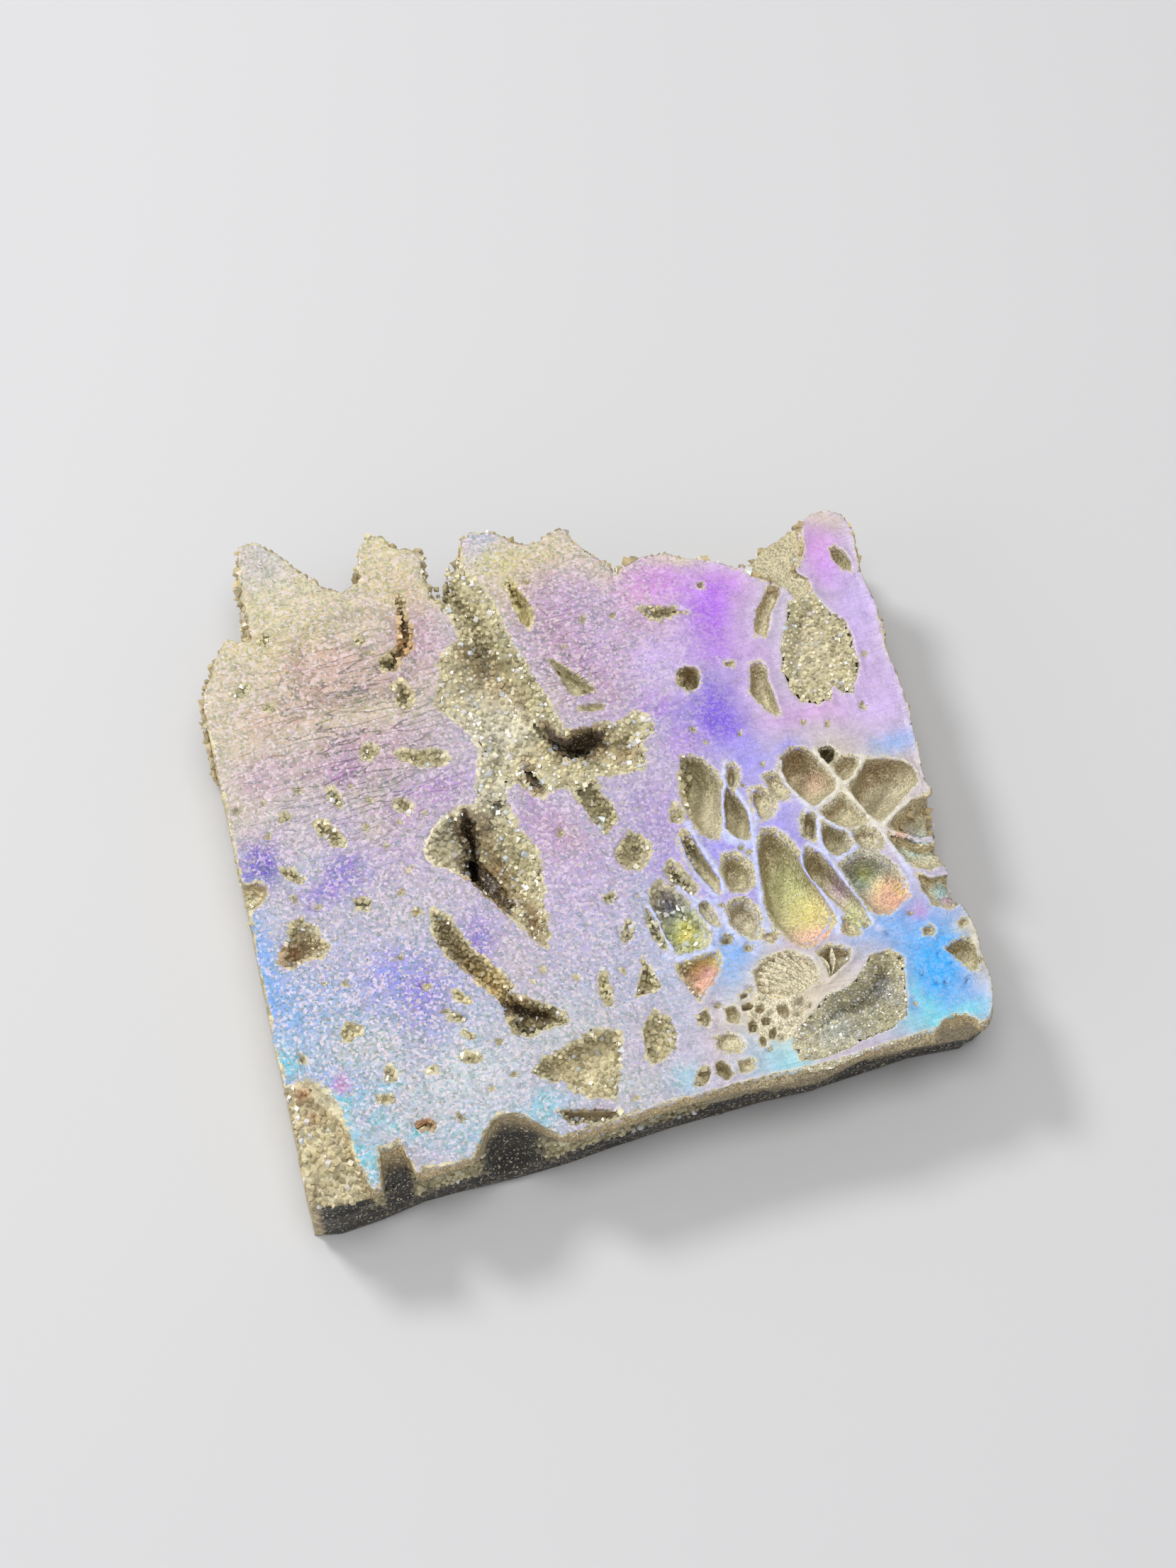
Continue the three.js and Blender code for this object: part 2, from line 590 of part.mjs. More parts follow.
// A rubble of tiny cells beside the fan, and the little vugs all over: [x, y, length, width, turn, depth].
const RUBBLE = [
  [11.7, -30.4, 0.7, 0.4, 20, 1.6], [11.7, -31.8, 0.8, 0.5, 0, 4], [13, -32.4, 0.8, 0.6, 40, 2],
  [11.6, -34.2, 0.9, 0.6, 70, 2.6], [13.2, -34, 0.7, 0.6, 10, 2.2], [13.5, -35.6, 0.9, 0.5, 60, 2],
  [12.2, -36.2, 0.8, 0.5, 80, 1.8],
];
const VUGS = [
  // left half, from the back to the front
  [-29.4, 28.4, 1.1, 0.8, 70, 1.6], [-18.6, 25.2, 0.8, 0.5, 100, 1], [-33.3, 22.5, 1.2, 0.6, 20, 1],
  [-31, 19.5, 1, 0.6, -20, 1], [-21, 10.7, 1.4, 1, 10, 1.2], [-26.4, 6.2, 1.7, 0.55, -72, 1.4],
  [-32.6, 5.2, 0.9, 0.5, 20, 0.8],
  [-28, 1.9, 2.6, 0.9, -55, 1.5], [-19, 2.9, 1.4, 0.75, -35, 1.6],
  [-33.4, -2.2, 1.7, 0.5, -40, 1.4], [-26.6, -7.8, 1, 0.9, 0, 1.8],
  [-21, -10.5, 0.5, 0.45, 0, 0.9],

  [-31.8, -22.6, 1.4, 1, 10, 1.1], [-18.8, -22, 1.3, 0.45, -50, 1.1],
  [-19.8, -24.3, 0.9, 0.4, -40, 1], [-19.3, -26.6, 0.9, 0.4, -52, 1],
  [-28.8, -28.6, 1.1, 0.65, 80, 1], [-24.2, -29.4, 0.7, 0.45, 0, 0.8],
  [-19.6, -29.2, 1.6, 0.7, -30, 1], [-30, -31.4, 1.2, 0.5, -10, 0.9], [-26.6, -35.6, 1.2, 0.65, -15, 2.6],

  // middle and right
  [5.3, 9.2, 2, 0.5, -12, 1.1], [10.9, -6.6, 1, 0.55, 80, 1.1],
  [0.6, -14.8, 0.9, 0.6, -10, 1.6], [-3, -25.3, 2.3, 0.7, 82, 1.4],
  [22.1, 21.3, 0.5, 0.5, 0, 1.2], [39.2, 20.2, 2.1, 0.9, -72, 2.4], [22.4, 10.3, 0.9, 0.45, -10, 1],
  [18.4, -3.6, 1.5, 0.5, 74, 2.6],
  [34.2, -28.5, 1, 0.8, 0, 1.2], [38.3, -28.6, 0.9, 0.6, 20, 0.9], [16.8, -24.2, 0.9, 0.6, -30, 1],

];

// Vugs that the saw opened in the underside, in the same form.
const UNDERSIDE_VUGS = [
  [-30, 24, 2.6, 1.2, 40, 2.2], [-33, -10, 3, 1.3, 70, 2.4], [-26, -24, 2.2, 1.4, 10, 2],
  [-3, -32, 3.2, 1.2, -10, 2.2], [16, -14, 3.4, 1.6, 50, 2.6], [27, 8, 2.6, 1.5, -40, 2.2],
];

// ---------------------------------------------------------------- shapes to solids

/** A manifold solid of a closed three.js geometry. */
function solidOf(geometry) {
  const bare = geometry.clone();
  bare.deleteAttribute("normal");
  bare.deleteAttribute("uv");
  const merged = mergeVertices(bare, 1e-4);
  return new wasm.Manifold(
    new wasm.Mesh({
      numProp: 3,
      vertProperties: merged.attributes.position.array,
      triVerts: new Uint32Array(merged.index.array),
    }),
  );
}

/** The largest body of a solid, without the chips that a cut leaves loose. */
const largest = (solid) => solid.decompose().sort((a, b) => b.volume() - a.volume())[0];

/** The three.js geometry of a manifold solid. */
function geometryOf(solid) {
  const mesh = solid.getMesh();
  return new THREE.BufferGeometry()
    .setAttribute("position", new THREE.BufferAttribute(new Float32Array(mesh.vertProperties), 3))
    .setIndex(new THREE.BufferAttribute(new Uint32Array(mesh.triVerts), 1))
    .toNonIndexed();
}

/** The middle of a ring of Vector3. */
const ringMiddle = (ring) => {
  const sum = ring.reduce((total, p) => total.add(p), new THREE.Vector3());
  return sum.divideScalar(ring.length);
};

/**
 * A closed geometry through rings of equally many Vector3, lowest ring first, each anticlockwise.
 * A star-shaped ring is closed by triangles around its middle, and any other by its own outline.
 */
function loft(rings, starShaped = true) {
  const sides = rings[0].length;
  const points = rings.flat();
  const faces = [];
  for (let level = 0; level + 1 < rings.length; level++) {
    for (let i = 0; i < sides; i++) {
      const a = level * sides + i;
      const b = level * sides + ((i + 1) % sides);
      faces.push(a, b, b + sides, a, b + sides, a + sides);
    }
  }
  const topStart = (rings.length - 1) * sides;
  if (starShaped) {
    const lowest = points.push(ringMiddle(rings[0])) - 1;
    const highest = points.push(ringMiddle(rings.at(-1))) - 1;
    for (let i = 0; i < sides; i++) {
      const next = (i + 1) % sides;
      faces.push(next, i, lowest, topStart + i, topStart + next, highest);
    }
  } else {
    for (const [a, b, c] of THREE.ShapeUtils.triangulateShape(flat(rings[0]), [])) faces.push(c, b, a);
    for (const [a, b, c] of THREE.ShapeUtils.triangulateShape(flat(rings.at(-1)), [])) {
      faces.push(topStart + a, topStart + b, topStart + c);
    }
  }
  return new THREE.BufferGeometry().setFromPoints(points).setIndex(faces);
}

const flat = (ring) => ring.map((p) => new THREE.Vector2(p.x, p.y));

/** A rim's points as Vector2, anticlockwise. */
function anticlockwise(rim) {
  const points = rim.map(([x, y]) => new THREE.Vector2(x, y));
  return THREE.ShapeUtils.isClockWise(points) ? points.reverse() : points;
}

/** The middle of a rim, weighted by area. */
function middleOf(points) {
  const middle = new THREE.Vector2();
  let doubleArea = 0;
  points.forEach((p, i) => {
    const q = points[(i + 1) % points.length];
    const cross = p.cross(q);
    doubleArea += cross;
    middle.addScaledVector(p, cross).addScaledVector(q, cross);
  });
  return middle.divideScalar(3 * doubleArea);
}

/**
 * A ring drawn in towards its middle until every side is the same distance inside the old one. A
 * negative distance widens it.
 */
function drawnIn(points, middle, distance) {
  const count = points.length;
  const squareness = points.map((p, i) => {
    const inwards = middle.clone().sub(p).normalize();
    return Math.min(...[[points.at(i - 1), p], [p, points[(i + 1) % count]]].map(([from, to]) => {
      const side = to.clone().sub(from).normalize();
      return inwards.y * side.x - inwards.x * side.y;
    }));
  });
  return points.map((p, i) => {
    const way = distance / Math.max(squareness[i], LEAST_SQUARENESS);
    return p.clone().lerp(middle, Math.min(way / p.distanceTo(middle), 0.9));
  });
}

/**
 * The solid that cuts one pit into the top: a wall that comes down from the rim and bends at the
 * shoulder into a smaller floor. inset and raise make the same pit smaller all round.
 */
function pit(shape, inset = 0, raise = 0) {
  const { rim, depth, floor = 0.6, lean = [0, 0], dip = [0, 0] } = shape;
  const bends = shape.bends ?? depth >= BENT_FROM;
  const points = anticlockwise(rim);
  const middle = middleOf(points);
  const ringAt = (share, sink, height) => {
    const centre = new THREE.Vector2(...lean).multiplyScalar(sink).add(middle);
    const ring = points.map((p) => p.clone().sub(middle).multiplyScalar(share).add(centre));
    return drawnIn(ring, centre, inset).map((p) => {
      const deeper = 1 + (p.x - middle.x) * dip[0] + (p.y - middle.y) * dip[1];
      const z = height ?? Math.max(THICKNESS - depth * sink * deeper, -1) + raise;
      return new THREE.Vector3(p.x, p.y, z);
    });
  };
  const bend = bends ? [ringAt(1 - (1 - floor) * SHOULDER_INSET, SHOULDER)] : [];
  return solidOf(loft([ringAt(floor, 1), ...bend, ringAt(1, 0, THICKNESS + CUT_ABOVE)]));
}

/** The rim of an oval pit with its long axis turned by so many degrees. */
function ovalRim([x, y, long, wide, turn], corners) {
  const angle = THREE.MathUtils.degToRad(turn);
  return Array.from({ length: corners }, (_, i) => {
    const t = (2 * Math.PI * i) / corners;
    const [u, v] = [long * Math.cos(t), wide * Math.sin(t)];
    return [x + u * Math.cos(angle) - v * Math.sin(angle), y + u * Math.sin(angle) + v * Math.cos(angle)];
  });
}

/** A small vug: one straight wall down to a smaller floor. */
function vug(oval) {
  const depth = oval[5];
  const corners = oval[2] > SMALL_VUG ? 7 : 5;
  const points = anticlockwise(ovalRim(oval, corners));
  const middle = middleOf(points);
  const ringAt = (share, z) =>
    points.map((p) => {
      const q = p.clone().sub(middle).multiplyScalar(share).add(middle);
      return new THREE.Vector3(q.x, q.y, z);
    });
  return solidOf(loft([ringAt(VUG_FLOOR, THICKNESS - depth), ringAt(1.1, THICKNESS + CUT_ABOVE)]));
}

/** The same vug opened in the underside. */
const undersideVug = (oval) => vug(oval).mirror([0, 0, 1]).translate([0, 0, THICKNESS]);

/** A repeatable number from 0 to 1 for a place on a grid. */
const jitter = (i, j, k) => {
  const s = Math.sin(i * 127.1 + j * 311.7 + k * 74.7) * 43758.5453;
  return s - Math.floor(s);
};

/** A pointed crystal with its foot a little below a place, standing out one way. */
function crystalAt(place, way, size, turn) {
  const upright = new THREE.Vector3(0, 1, 0);
  const height = CRYSTAL_HEIGHT * size;
  const crystal = new THREE.ConeGeometry(CRYSTAL_RADIUS * size, height, CRYSTAL_SIDES);
  crystal.rotateY(2 * Math.PI * turn);
  crystal.translate(0, height / 2 - CRYSTAL_SINK * size, 0);
  crystal.applyQuaternion(new THREE.Quaternion().setFromUnitVectors(upright, way.clone().normalize()));
  crystal.translate(place.x, place.y, place.z);
  return solidOf(crystal);
}

// ---------------------------------------------------------------- the stone

/** A smooth, repeatable unevenness between about -1 and 1. */
const ripple = (x, y, z, phase) => {
  const long = Math.sin(0.31 * x + 0.23 * y + 0.9 * z + phase);
  const short = Math.sin(0.17 * y - 0.41 * x + 0.6 * z + 2.3 * phase);
  return (long + short) / 2;
};

/** How far a point's flank stands in at one level, as a shift in x and y. */
function flankShift(x, y, [z, front, back, right]) {
  const fade = (distance) => THREE.MathUtils.smoothstep(FLANK_REACH - distance, 0, FLANK_REACH);
  const nearFront = fade(y + HALF_WIDTH);
  const nearRight = fade(HALF_WIDTH - x);
  const nearBack = THREE.MathUtils.smoothstep(y, ...BACK_BEGINS);
  const nearLeft = fade(x + HALF_WIDTH);
  const undercut = 1 + (UNDERCUT_TO_RIGHT * (x + HALF_WIDTH)) / (2 * HALF_WIDTH);
  const rough = z === THICKNESS || z === 0 ? 0 : FLANK_ROUGHNESS * (1 - nearLeft);
  return [
    -nearRight * right + rough * ripple(x, y, z, 1),
    nearFront * front * undercut - nearBack * back + rough * ripple(x, y, z, 4),
  ];
}

function stoneBody() {
  const outline = anticlockwise(OUTLINE);
  const rings = FLANK_LEVELS.map((level) =>
    outline.map(({ x, y }) => {
      const [dx, dy] = flankShift(x, y, level);
      return new THREE.Vector3(x + dx, y + dy, level[0]);
    }),
  );
  return solidOf(loft(rings, false));
}

/** Crystals standing out from the ragged back flank. */
function backCrystals() {
  const crystals = [];
  for (let i = 1; i + 1 < BACK_EDGE.length; i += FLANK_CRYSTAL_STEP) {
    const [x, y] = BACK_EDGE[i];
    const [before, after] = [BACK_EDGE[i - 1], BACK_EDGE[i + 1]];
    const along = new THREE.Vector2(after[0] - before[0], after[1] - before[1]);
    const z = THICKNESS * (0.15 + 0.6 * jitter(i, 0, 1));
    const way = new THREE.Vector3(along.y, -along.x, along.length() * (jitter(i, 0, 2) - 0.4));
    const [dx, dy] = flankShift(x, y, [z, 0, -0.6, 0]);
    const place = new THREE.Vector3(x + dx, y + dy, z);
    crystals.push(crystalAt(place, way, FLANK_CRYSTAL_SCALE, jitter(i, 0, 3)));
  }
  return wasm.Manifold.union(crystals);
}

/** The fan's cell with its blades left out of the cut. */
function fanCutter() {
  const bladeHeight = 1.6 * FAN_CELL.depth;
  const bladeMiddle = THICKNESS - BLADE_BELOW_TOP - bladeHeight / 2;
  const blades = FAN_BLADES.map(([from, to]) => {
    const [dx, dy] = [to[0] - from[0], to[1] - from[1]];
    const blade = new THREE.BoxGeometry(Math.hypot(dx, dy), BLADE_THICKNESS, bladeHeight);
    blade.rotateZ(Math.atan2(dy, dx));
    blade.translate((from[0] + to[0]) / 2, (from[1] + to[1]) / 2, bladeMiddle);
    return solidOf(blade);
  });
  return pit({ ...FAN_CELL, dip: BOXWORK_DIP }).subtract(wasm.Manifold.union(blades));
}

function stone() {
  const crusted = [...MAIN_HOLLOW, NECK, ...LOWER_CHAMBER, ...SLOT, ...CORNER_POCKET, ...FRONT_POCKET];
  const cutters = [
    ...[...crusted, ...CLEFTS, ...NOTCHES, ...POCKETS].map((shape) => pit(shape)),
    ...BOXWORK.map((cell) => pit({ floor: 0.66, dip: BOXWORK_DIP, ...cell })),
    ...[...RUBBLE, ...VUGS].map(vug),
    ...UNDERSIDE_VUGS.map(undersideVug),
    fanCutter(),
  ];
  return largest(stoneBody().add(backCrystals()).subtract(wasm.Manifold.union(cutters)));
}

// ---------------------------------------------------------------- the druse crusts

/** Crystals standing on a crust's upper face, on a jittered grid over the hollow. */
function crystalsOn(shell) {
  const ground = new THREE.Mesh(geometryOf(shell), new THREE.MeshBasicMaterial());
  const box = new THREE.Box3().setFromObject(ground);
  const caster = new THREE.Raycaster();
  const down = new THREE.Vector3(0, 0, -1);
  const crystals = [];
  for (let i = 0; box.min.x + i * CRYSTAL_PITCH < box.max.x; i++) {
    for (let j = 0; box.min.y + j * CRYSTAL_PITCH < box.max.y; j++) {
      const x = box.min.x + (i + jitter(i, j, 1)) * CRYSTAL_PITCH;
      const y = box.min.y + (j + jitter(i, j, 2)) * CRYSTAL_PITCH;
      caster.set(new THREE.Vector3(x, y, THICKNESS + 1), down);
      const [hit] = caster.intersectObject(ground);
      if (!hit || hit.face.normal.z < 0.3) continue;
      const lean = new THREE.Vector3(jitter(i, j, 5) - 0.5, jitter(i, j, 6) - 0.5, 0.4);
      const way = hit.face.normal.clone().add(lean);
      const size = 0.75 + 0.5 * jitter(i, j, 3);
      crystals.push(crystalAt(hit.point, way, size, jitter(i, j, 4)));
    }
  }
  return wasm.Manifold.union(crystals);
}

/** The crust that lines one hollow: a shell of even thickness, open over the clefts, with crystals. */
function crust(hollow) {
  const topOfCrust = THICKNESS - CRUST_BELOW_TOP;
  const ceiling = new THREE.BoxGeometry(3 * HALF_WIDTH, 3 * HALF_WIDTH, topOfCrust);
  ceiling.translate(0, 0, topOfCrust / 2);
  const lobes = wasm.Manifold.union(hollow.map((lobe) => pit(lobe, CRUST_INSET, CRUST_GAP)));
  const outer = lobes.intersect(solidOf(ceiling));
  const thick = CRUST_INSET + CRUST_THICKNESS;
  const inner = wasm.Manifold.union(
    hollow.map((lobe) => pit({ ...lobe, bends: false }, thick, CRUST_GAP + CRUST_THICKNESS)),
  );
  const clefts = wasm.Manifold.union(
    CLEFTS.map((cleft) => pit({ ...cleft, floor: 0.95, bends: false }, -CLEFT_MARGIN)),
  );
  const shell = outer.subtract(inner).subtract(clefts);
  return largest(shell.add(crystalsOn(shell)).intersect(outer).subtract(clefts));
}

// ---------------------------------------------------------------- the part

const COATED_STONE = new THREE.MeshStandardMaterial({ color: 0xb9a6d8, roughness: 0.45, metalness: 0.15 });
const DRUSE = new THREE.MeshStandardMaterial({ color: 0xa79a6b, roughness: 0.3, metalness: 0 });

/** A named mesh of a solid. */
function node(name, solid, material) {
  const mesh = new THREE.Mesh(geometryOf(solid), material);
  mesh.geometry.computeVertexNormals();
  mesh.name = name;
  return mesh;
}

const slab = new THREE.Group();
slab.name = "sphalerite_slab";
slab.add(
  node("stone", stone(), COATED_STONE),
  node("main_hollow_druse", crust(MAIN_HOLLOW), DRUSE),
  node("lower_chamber_druse", crust(LOWER_CHAMBER), DRUSE),
  node("corner_pocket_druse", crust(CORNER_POCKET), DRUSE),
  node("front_pocket_druse", crust(FRONT_POCKET), DRUSE),
);

// The origin is under the middle of the outline.
const middle = new THREE.Box3().setFromObject(slab).getCenter(new THREE.Vector3());
for (const mesh of slab.children) mesh.position.set(-middle.x, -middle.y, 0);

export default slab;
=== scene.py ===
"""The looks of the sphalerite slab: its coat, its bare stone and the druse in its hollows.

Lengths are in millimetres in the code and become metres where a mesh or light is made. Places on
the slab are given from DATUM, the point that the slab's outline was drawn from.
"""

import math

import bmesh
import bpy
import numpy as np
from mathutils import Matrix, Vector, kdtree, noise


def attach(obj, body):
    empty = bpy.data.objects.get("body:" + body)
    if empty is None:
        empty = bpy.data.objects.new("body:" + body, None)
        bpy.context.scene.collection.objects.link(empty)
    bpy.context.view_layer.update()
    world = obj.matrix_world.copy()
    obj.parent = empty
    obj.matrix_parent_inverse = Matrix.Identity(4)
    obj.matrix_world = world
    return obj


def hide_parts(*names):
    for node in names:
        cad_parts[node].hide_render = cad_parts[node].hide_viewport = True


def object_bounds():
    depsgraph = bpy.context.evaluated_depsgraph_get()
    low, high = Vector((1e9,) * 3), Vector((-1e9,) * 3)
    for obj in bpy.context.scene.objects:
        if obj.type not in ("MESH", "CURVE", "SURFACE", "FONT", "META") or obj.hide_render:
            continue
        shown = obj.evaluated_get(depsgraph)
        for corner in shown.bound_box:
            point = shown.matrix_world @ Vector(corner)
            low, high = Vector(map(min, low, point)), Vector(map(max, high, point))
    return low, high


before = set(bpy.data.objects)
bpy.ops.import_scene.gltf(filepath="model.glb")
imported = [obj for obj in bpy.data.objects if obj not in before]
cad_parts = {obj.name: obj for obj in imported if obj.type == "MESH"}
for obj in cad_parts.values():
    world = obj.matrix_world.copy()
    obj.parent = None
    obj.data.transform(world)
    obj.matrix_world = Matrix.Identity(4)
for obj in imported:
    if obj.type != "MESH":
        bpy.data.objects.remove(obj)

CAD_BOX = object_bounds()
noise.seed_set(7)  # without a seed, noise_vector differs from run to run
MM = 0.001

# ---- dimensions, in millimetres

THICKNESS = 15.0
DATUM = np.array([-0.308, 0.136])  # where the outline's own zero lies in the frame

FINEST_EDGE = 0.37  # mesh size along the rims of the hollows
COARSEST_EDGE = 1.5  # mesh size in the middle of the sawn top
PIT_EDGE = 0.72
FLANK_EDGE = 1.2
UNDERSIDE_EDGE = 4.5
EDGE_GROWTH = 0.78  # how fast the mesh size grows with distance from a rim
RIM_STEP = 0.4  # the distance between the points that stand for a rim
RASTER_STEP = 0.3
SMOOTHING_ROUNDS = 3
MOUTH_WIDTH = 4.6  # a little more than the mouth of the main hollow at the back edge
FLANK_REACH = 3.7  # how far the flanks lean in under the sawn top

SOFT_HOLLOWS = ("main_hollow_druse", "lower_chamber_druse")  # their rims are worn round
SOFT_REACH = 2.6
SOFT_ROUNDS = 9
CRUST_RISE = 1.2  # how far a crust's top stands over the stone that it lines
CRUST_BORDER = 2.4  # how far from the solid crust its visible bed may reach, up to the wall
CRUST_PACES = {  # the distance between the crystals of each crust
    "main_hollow_druse": 0.5,
    "lower_chamber_druse": 0.48,
    "corner_pocket_druse": 0.42,
    "front_pocket_druse": 0.27,
}

# How far a place seems to lie towards the front, in the photograph, for each millimetre of depth.
# Colours and clefts inside the hollows are given where they are seen.
SEEN_SHIFT = np.array([0.134, 0.469])

# The narrow clefts that run down through the druse, dark with painted shade: x, y, half width.
# A crust stays this many half widths clear of a cleft's middle, and the stone's own crystals a whole one.
CLEFT_OPENING = 0.7
CLEFTS = [
    [(-0.7, 8.6, 0.3), (-0.2, 6.9, 0.4), (0.3, 5.6, 0.6), (1.4, 4.8, 1.0), (2.9, 4.9, 1.2),
     (4.2, 5.1, 1.0), (5.4, 5.5, 0.5)],
    [(-12.5, -0.2, 0.4), (-13.1, -2, 0.75), (-12.8, -3.9, 0.55), (-13, -5.4, 0.4), (-13.7, -6.9, 0.8),
     (-13.1, -8.4, 1.0), (-12.2, -10.4, 0.7), (-11.2, -12.1, 0.5), (-10.7, -13.3, 0.35)],
    [(-4.5, 2.4, 0.25), (-4, 1.3, 0.45), (-3.3, 0.7, 0.3)],
    [(-14.6, -24.4, 0.5), (-12.6, -25.8, 0.7), (-10.4, -26.8, 0.5)],
]

# The narrow bright ridges along the tops of the walls between the boxwork's cells.
RIDGES = [
    [(18, -1.6), (17.3, -4.7), (16.2, -7.6), (15.3, -11.2)],
    [(18.3, -5.8), (18.8, -8.9), (18.5, -12.1), (18.1, -14.4), (17.5, -17.1), (16.9, -20.7),
     (16.6, -23.2), (17.4, -25.3)],
    [(11.7, -8), (12, -10.2), (12.7, -13.1), (13.3, -15.9), (13.4, -17.8)],
    [(10.5, -9.8), (10.5, -12.2), (11.2, -15.3), (12.2, -17.7)],
    [(15.4, -11.2), (16.5, -12.3), (17.4, -13.4), (18, -14.6)],
    [(15.8, -10.9), (16.9, -12), (18.3, -12.8)],
    [(28.5, -3.2), (29.4, -5.7), (30.1, -8.1), (30.8, -9.9), (32, -13), (32.8, -15.1), (33.9, -18.6),
     (34.3, -21.9)],
    [(30.1, -8.1), (27.9, -9.6), (26.8, -10.1), (25.5, -10.3)],
    [(30.1, -8.3), (32.1, -7.5), (33.7, -5.8)], [(33, -14.6), (35.1, -13.3), (37.4, -12.3)],
    [(26.3, -17), (27.8, -16.9), (29.7, -16.3)], [(20.4, -6.4), (20, -8.2), (19.7, -10)],
    [(24.4, -3.7), (24, -5.2), (24.3, -7), (25.2, -8.8), (26, -10.2), (26.8, -11.5), (28, -13.2),
     (29.5, -14.8)],
    [(23.3, -15), (22.7, -17), (23, -19), (23.9, -20.8), (24.7, -22.9), (24.9, -24.5), (24.2, -25.9)],
    [(24.4, -14.6), (25.8, -16.3), (26.5, -18.9), (27.1, -21.5), (27.8, -23.8), (28.8, -26.9)],
    [(26.3, -11.6), (25.8, -13.6), (25.9, -15.8), (26.2, -17.5)],
    [(4.5, -16.9), (5.1, -18.9), (5.4, -21.1), (5.5, -23.2)],
    [(8.5, -15.6), (9.5, -17.2), (10.2, -19.6), (10.8, -21.8), (10.9, -23.7)],
    [(4.5, -23.4), (6, -24.1), (7.9, -24.1), (10.3, -24)],
    [(12.1, -18.2), (12.4, -20.4), (12.4, -22), (13.3, -23.8), (14.2, -25.7)],
    [(9.3, -18.5), (10.4, -18), (11.2, -18), (11.9, -18.7)],
]
RIDGE_HALF_WIDTH = 0.26
SHOULDER = 0.42  # how far the coat stays back from the cells of the boxwork
SHOULDER_DROP = 0.5
PALE_RIM = 0.22
FRONT_SHADE = (1.3, 4.2)  # how deep under the top the front turns from tan to the dark of painted shade
WALL_IN_SHADE = np.array([0.5, -0.86, 0.0])  # the way that the cell walls with painted shade face

# Where the slab's sides begin. The left and front ones fade in between two numbers.
SAWN_LEFT = (35, 37.5)
FRONT_SIDE = (33, 37)
FRONT_COLOUR = (29, 35)
ROUGH_BACK = 18
ROUGH_RIGHT = 32

# How far the fine surface is moved, in millimetres. Where there are two numbers, the second is what
# is taken away again on the flowed side.
PIT_STEPS = (0.4, 0.34)
RAGGED_RIM = (0.26, 0.17)
FLANK_CHIPS = 0.5
FRONT_LEDGES = 0.22
SAW_MARKS = 0.12
TOP_GRAIN = 0.05
FLOWED_DROP = 0.2

FLANK_PACE = 0.78  # the distance between the crystals of the back and right flanks
PIT_PACE = 0.5  # and between those of the open hollows
CRYSTAL_REACH = 0.45  # stone with less coat than this bears crystals

# ---- colours, as seen on the slab


def srgb(code):
    """Linear red, green and blue of a hexadecimal sRGB colour."""
    channels = np.array([int(code[i:i + 2], 16) for i in (0, 2, 4)]) / 255
    return np.where(channels <= 0.04045, channels / 12.92, ((channels + 0.055) / 1.055) ** 2.4)


def palette(codes):
    return [srgb(code) for code in codes.split()]


# the coat's; RIM_CREAM is a pale band along the edges of the hollows and cell walls
CREAM, STRAW, FAWN, BLUSH, ROSE, LILAC = palette("d8cba6 d6cc90 c9b8a8 cba8a4 c6a0b4 c2a6d2")
PALE_LILAC, MAUVE, ORCHID, VIOLET, INDIGO, DUSKY = palette("c0b4c8 b48cbc d59ade b070e4 7a58d8 9c80c4")
PERIWINKLE, ICE, MIST, PALE_MIST, SKY, AZURE = palette("9c94ec b4bcd4 c0c6c4 d6dede 84b0ec 48a8f0")
AQUA, BRIGHT_AQUA, MAGENTA, WHITE, RIM_CREAM = palette("90ccdc 7cd8e4 d870b4 f4f0f4 e2dcc8")
RIDGE_BLUE = srgb("c4ccf0")
# the bare stone's and the hollows'
KHAKI, OLIVE, BROWN, DARK_BROWN, RUST, TAN = palette("c8be9a ada57c 9a7a50 301e10 a05a24 c6b68e")
PALE_STONE, GOLD, YELLOW_GREEN, PINK_ORANGE, TEAL = palette("e6dcc0 e4d07c d2dc88 f0b8a4 86bcc0")
SLATE, UMBER, EDGE_TAN, GREY_KHAKI, GREY_STONE = palette("2e2820 86643c b09c74 a8a48c d8d2be")
BRIGHT_GOLD, LIME, CORAL, BRIGHT_TEAL, BLUE_GREY = palette("f2dc60 cfe07c f4a890 7cc4cc 8c96b4")
SLOT_TAN, RUST_TAN, BRIGHT_LILAC, DUSK, IVORY = palette("f6dca0 d0aa7c d6bef0 7466a8 f0e6c6")
# what the gaps between its crystals leave of the coat's light
GAP_SHADE = np.array([0.36, 0.31, 0.42])
WHITE_GLINT_SHARE = 0.265  # how much of the grainy coat its painted white glints take
GAP_SHARE = 0.22
COAT_SATURATION = 1.04
COAT_TONES = (0.9, 0.97)  # the palette is as bright as the lit coat, so its own colour is darker
# painted glints: the colours given to glinting crystals, and how much of their colour they make
GLINT_COLOURS = [WHITE, *palette("d8e2ee f4ecc0 e8e2c4")]
GLINT_SHARE = 0.7
GRAIN, FINE_GRAIN = 0.3, 0.18  # the coat's crystals, in millimetres across
BARE_GRAIN, CRYSTAL_FACE = 0.7, 0.6  # patches of one shade and of one slope on the bare stone
CLOUD, PORE = 1.9, 0.9
WRINKLE_TURNS = (14, 42)  # degrees: over most of the coat, and where it fans out
WRINKLE_STRETCH = (0.2, 1.0, 0.3)
SPHALERITE_IOR = 1.6


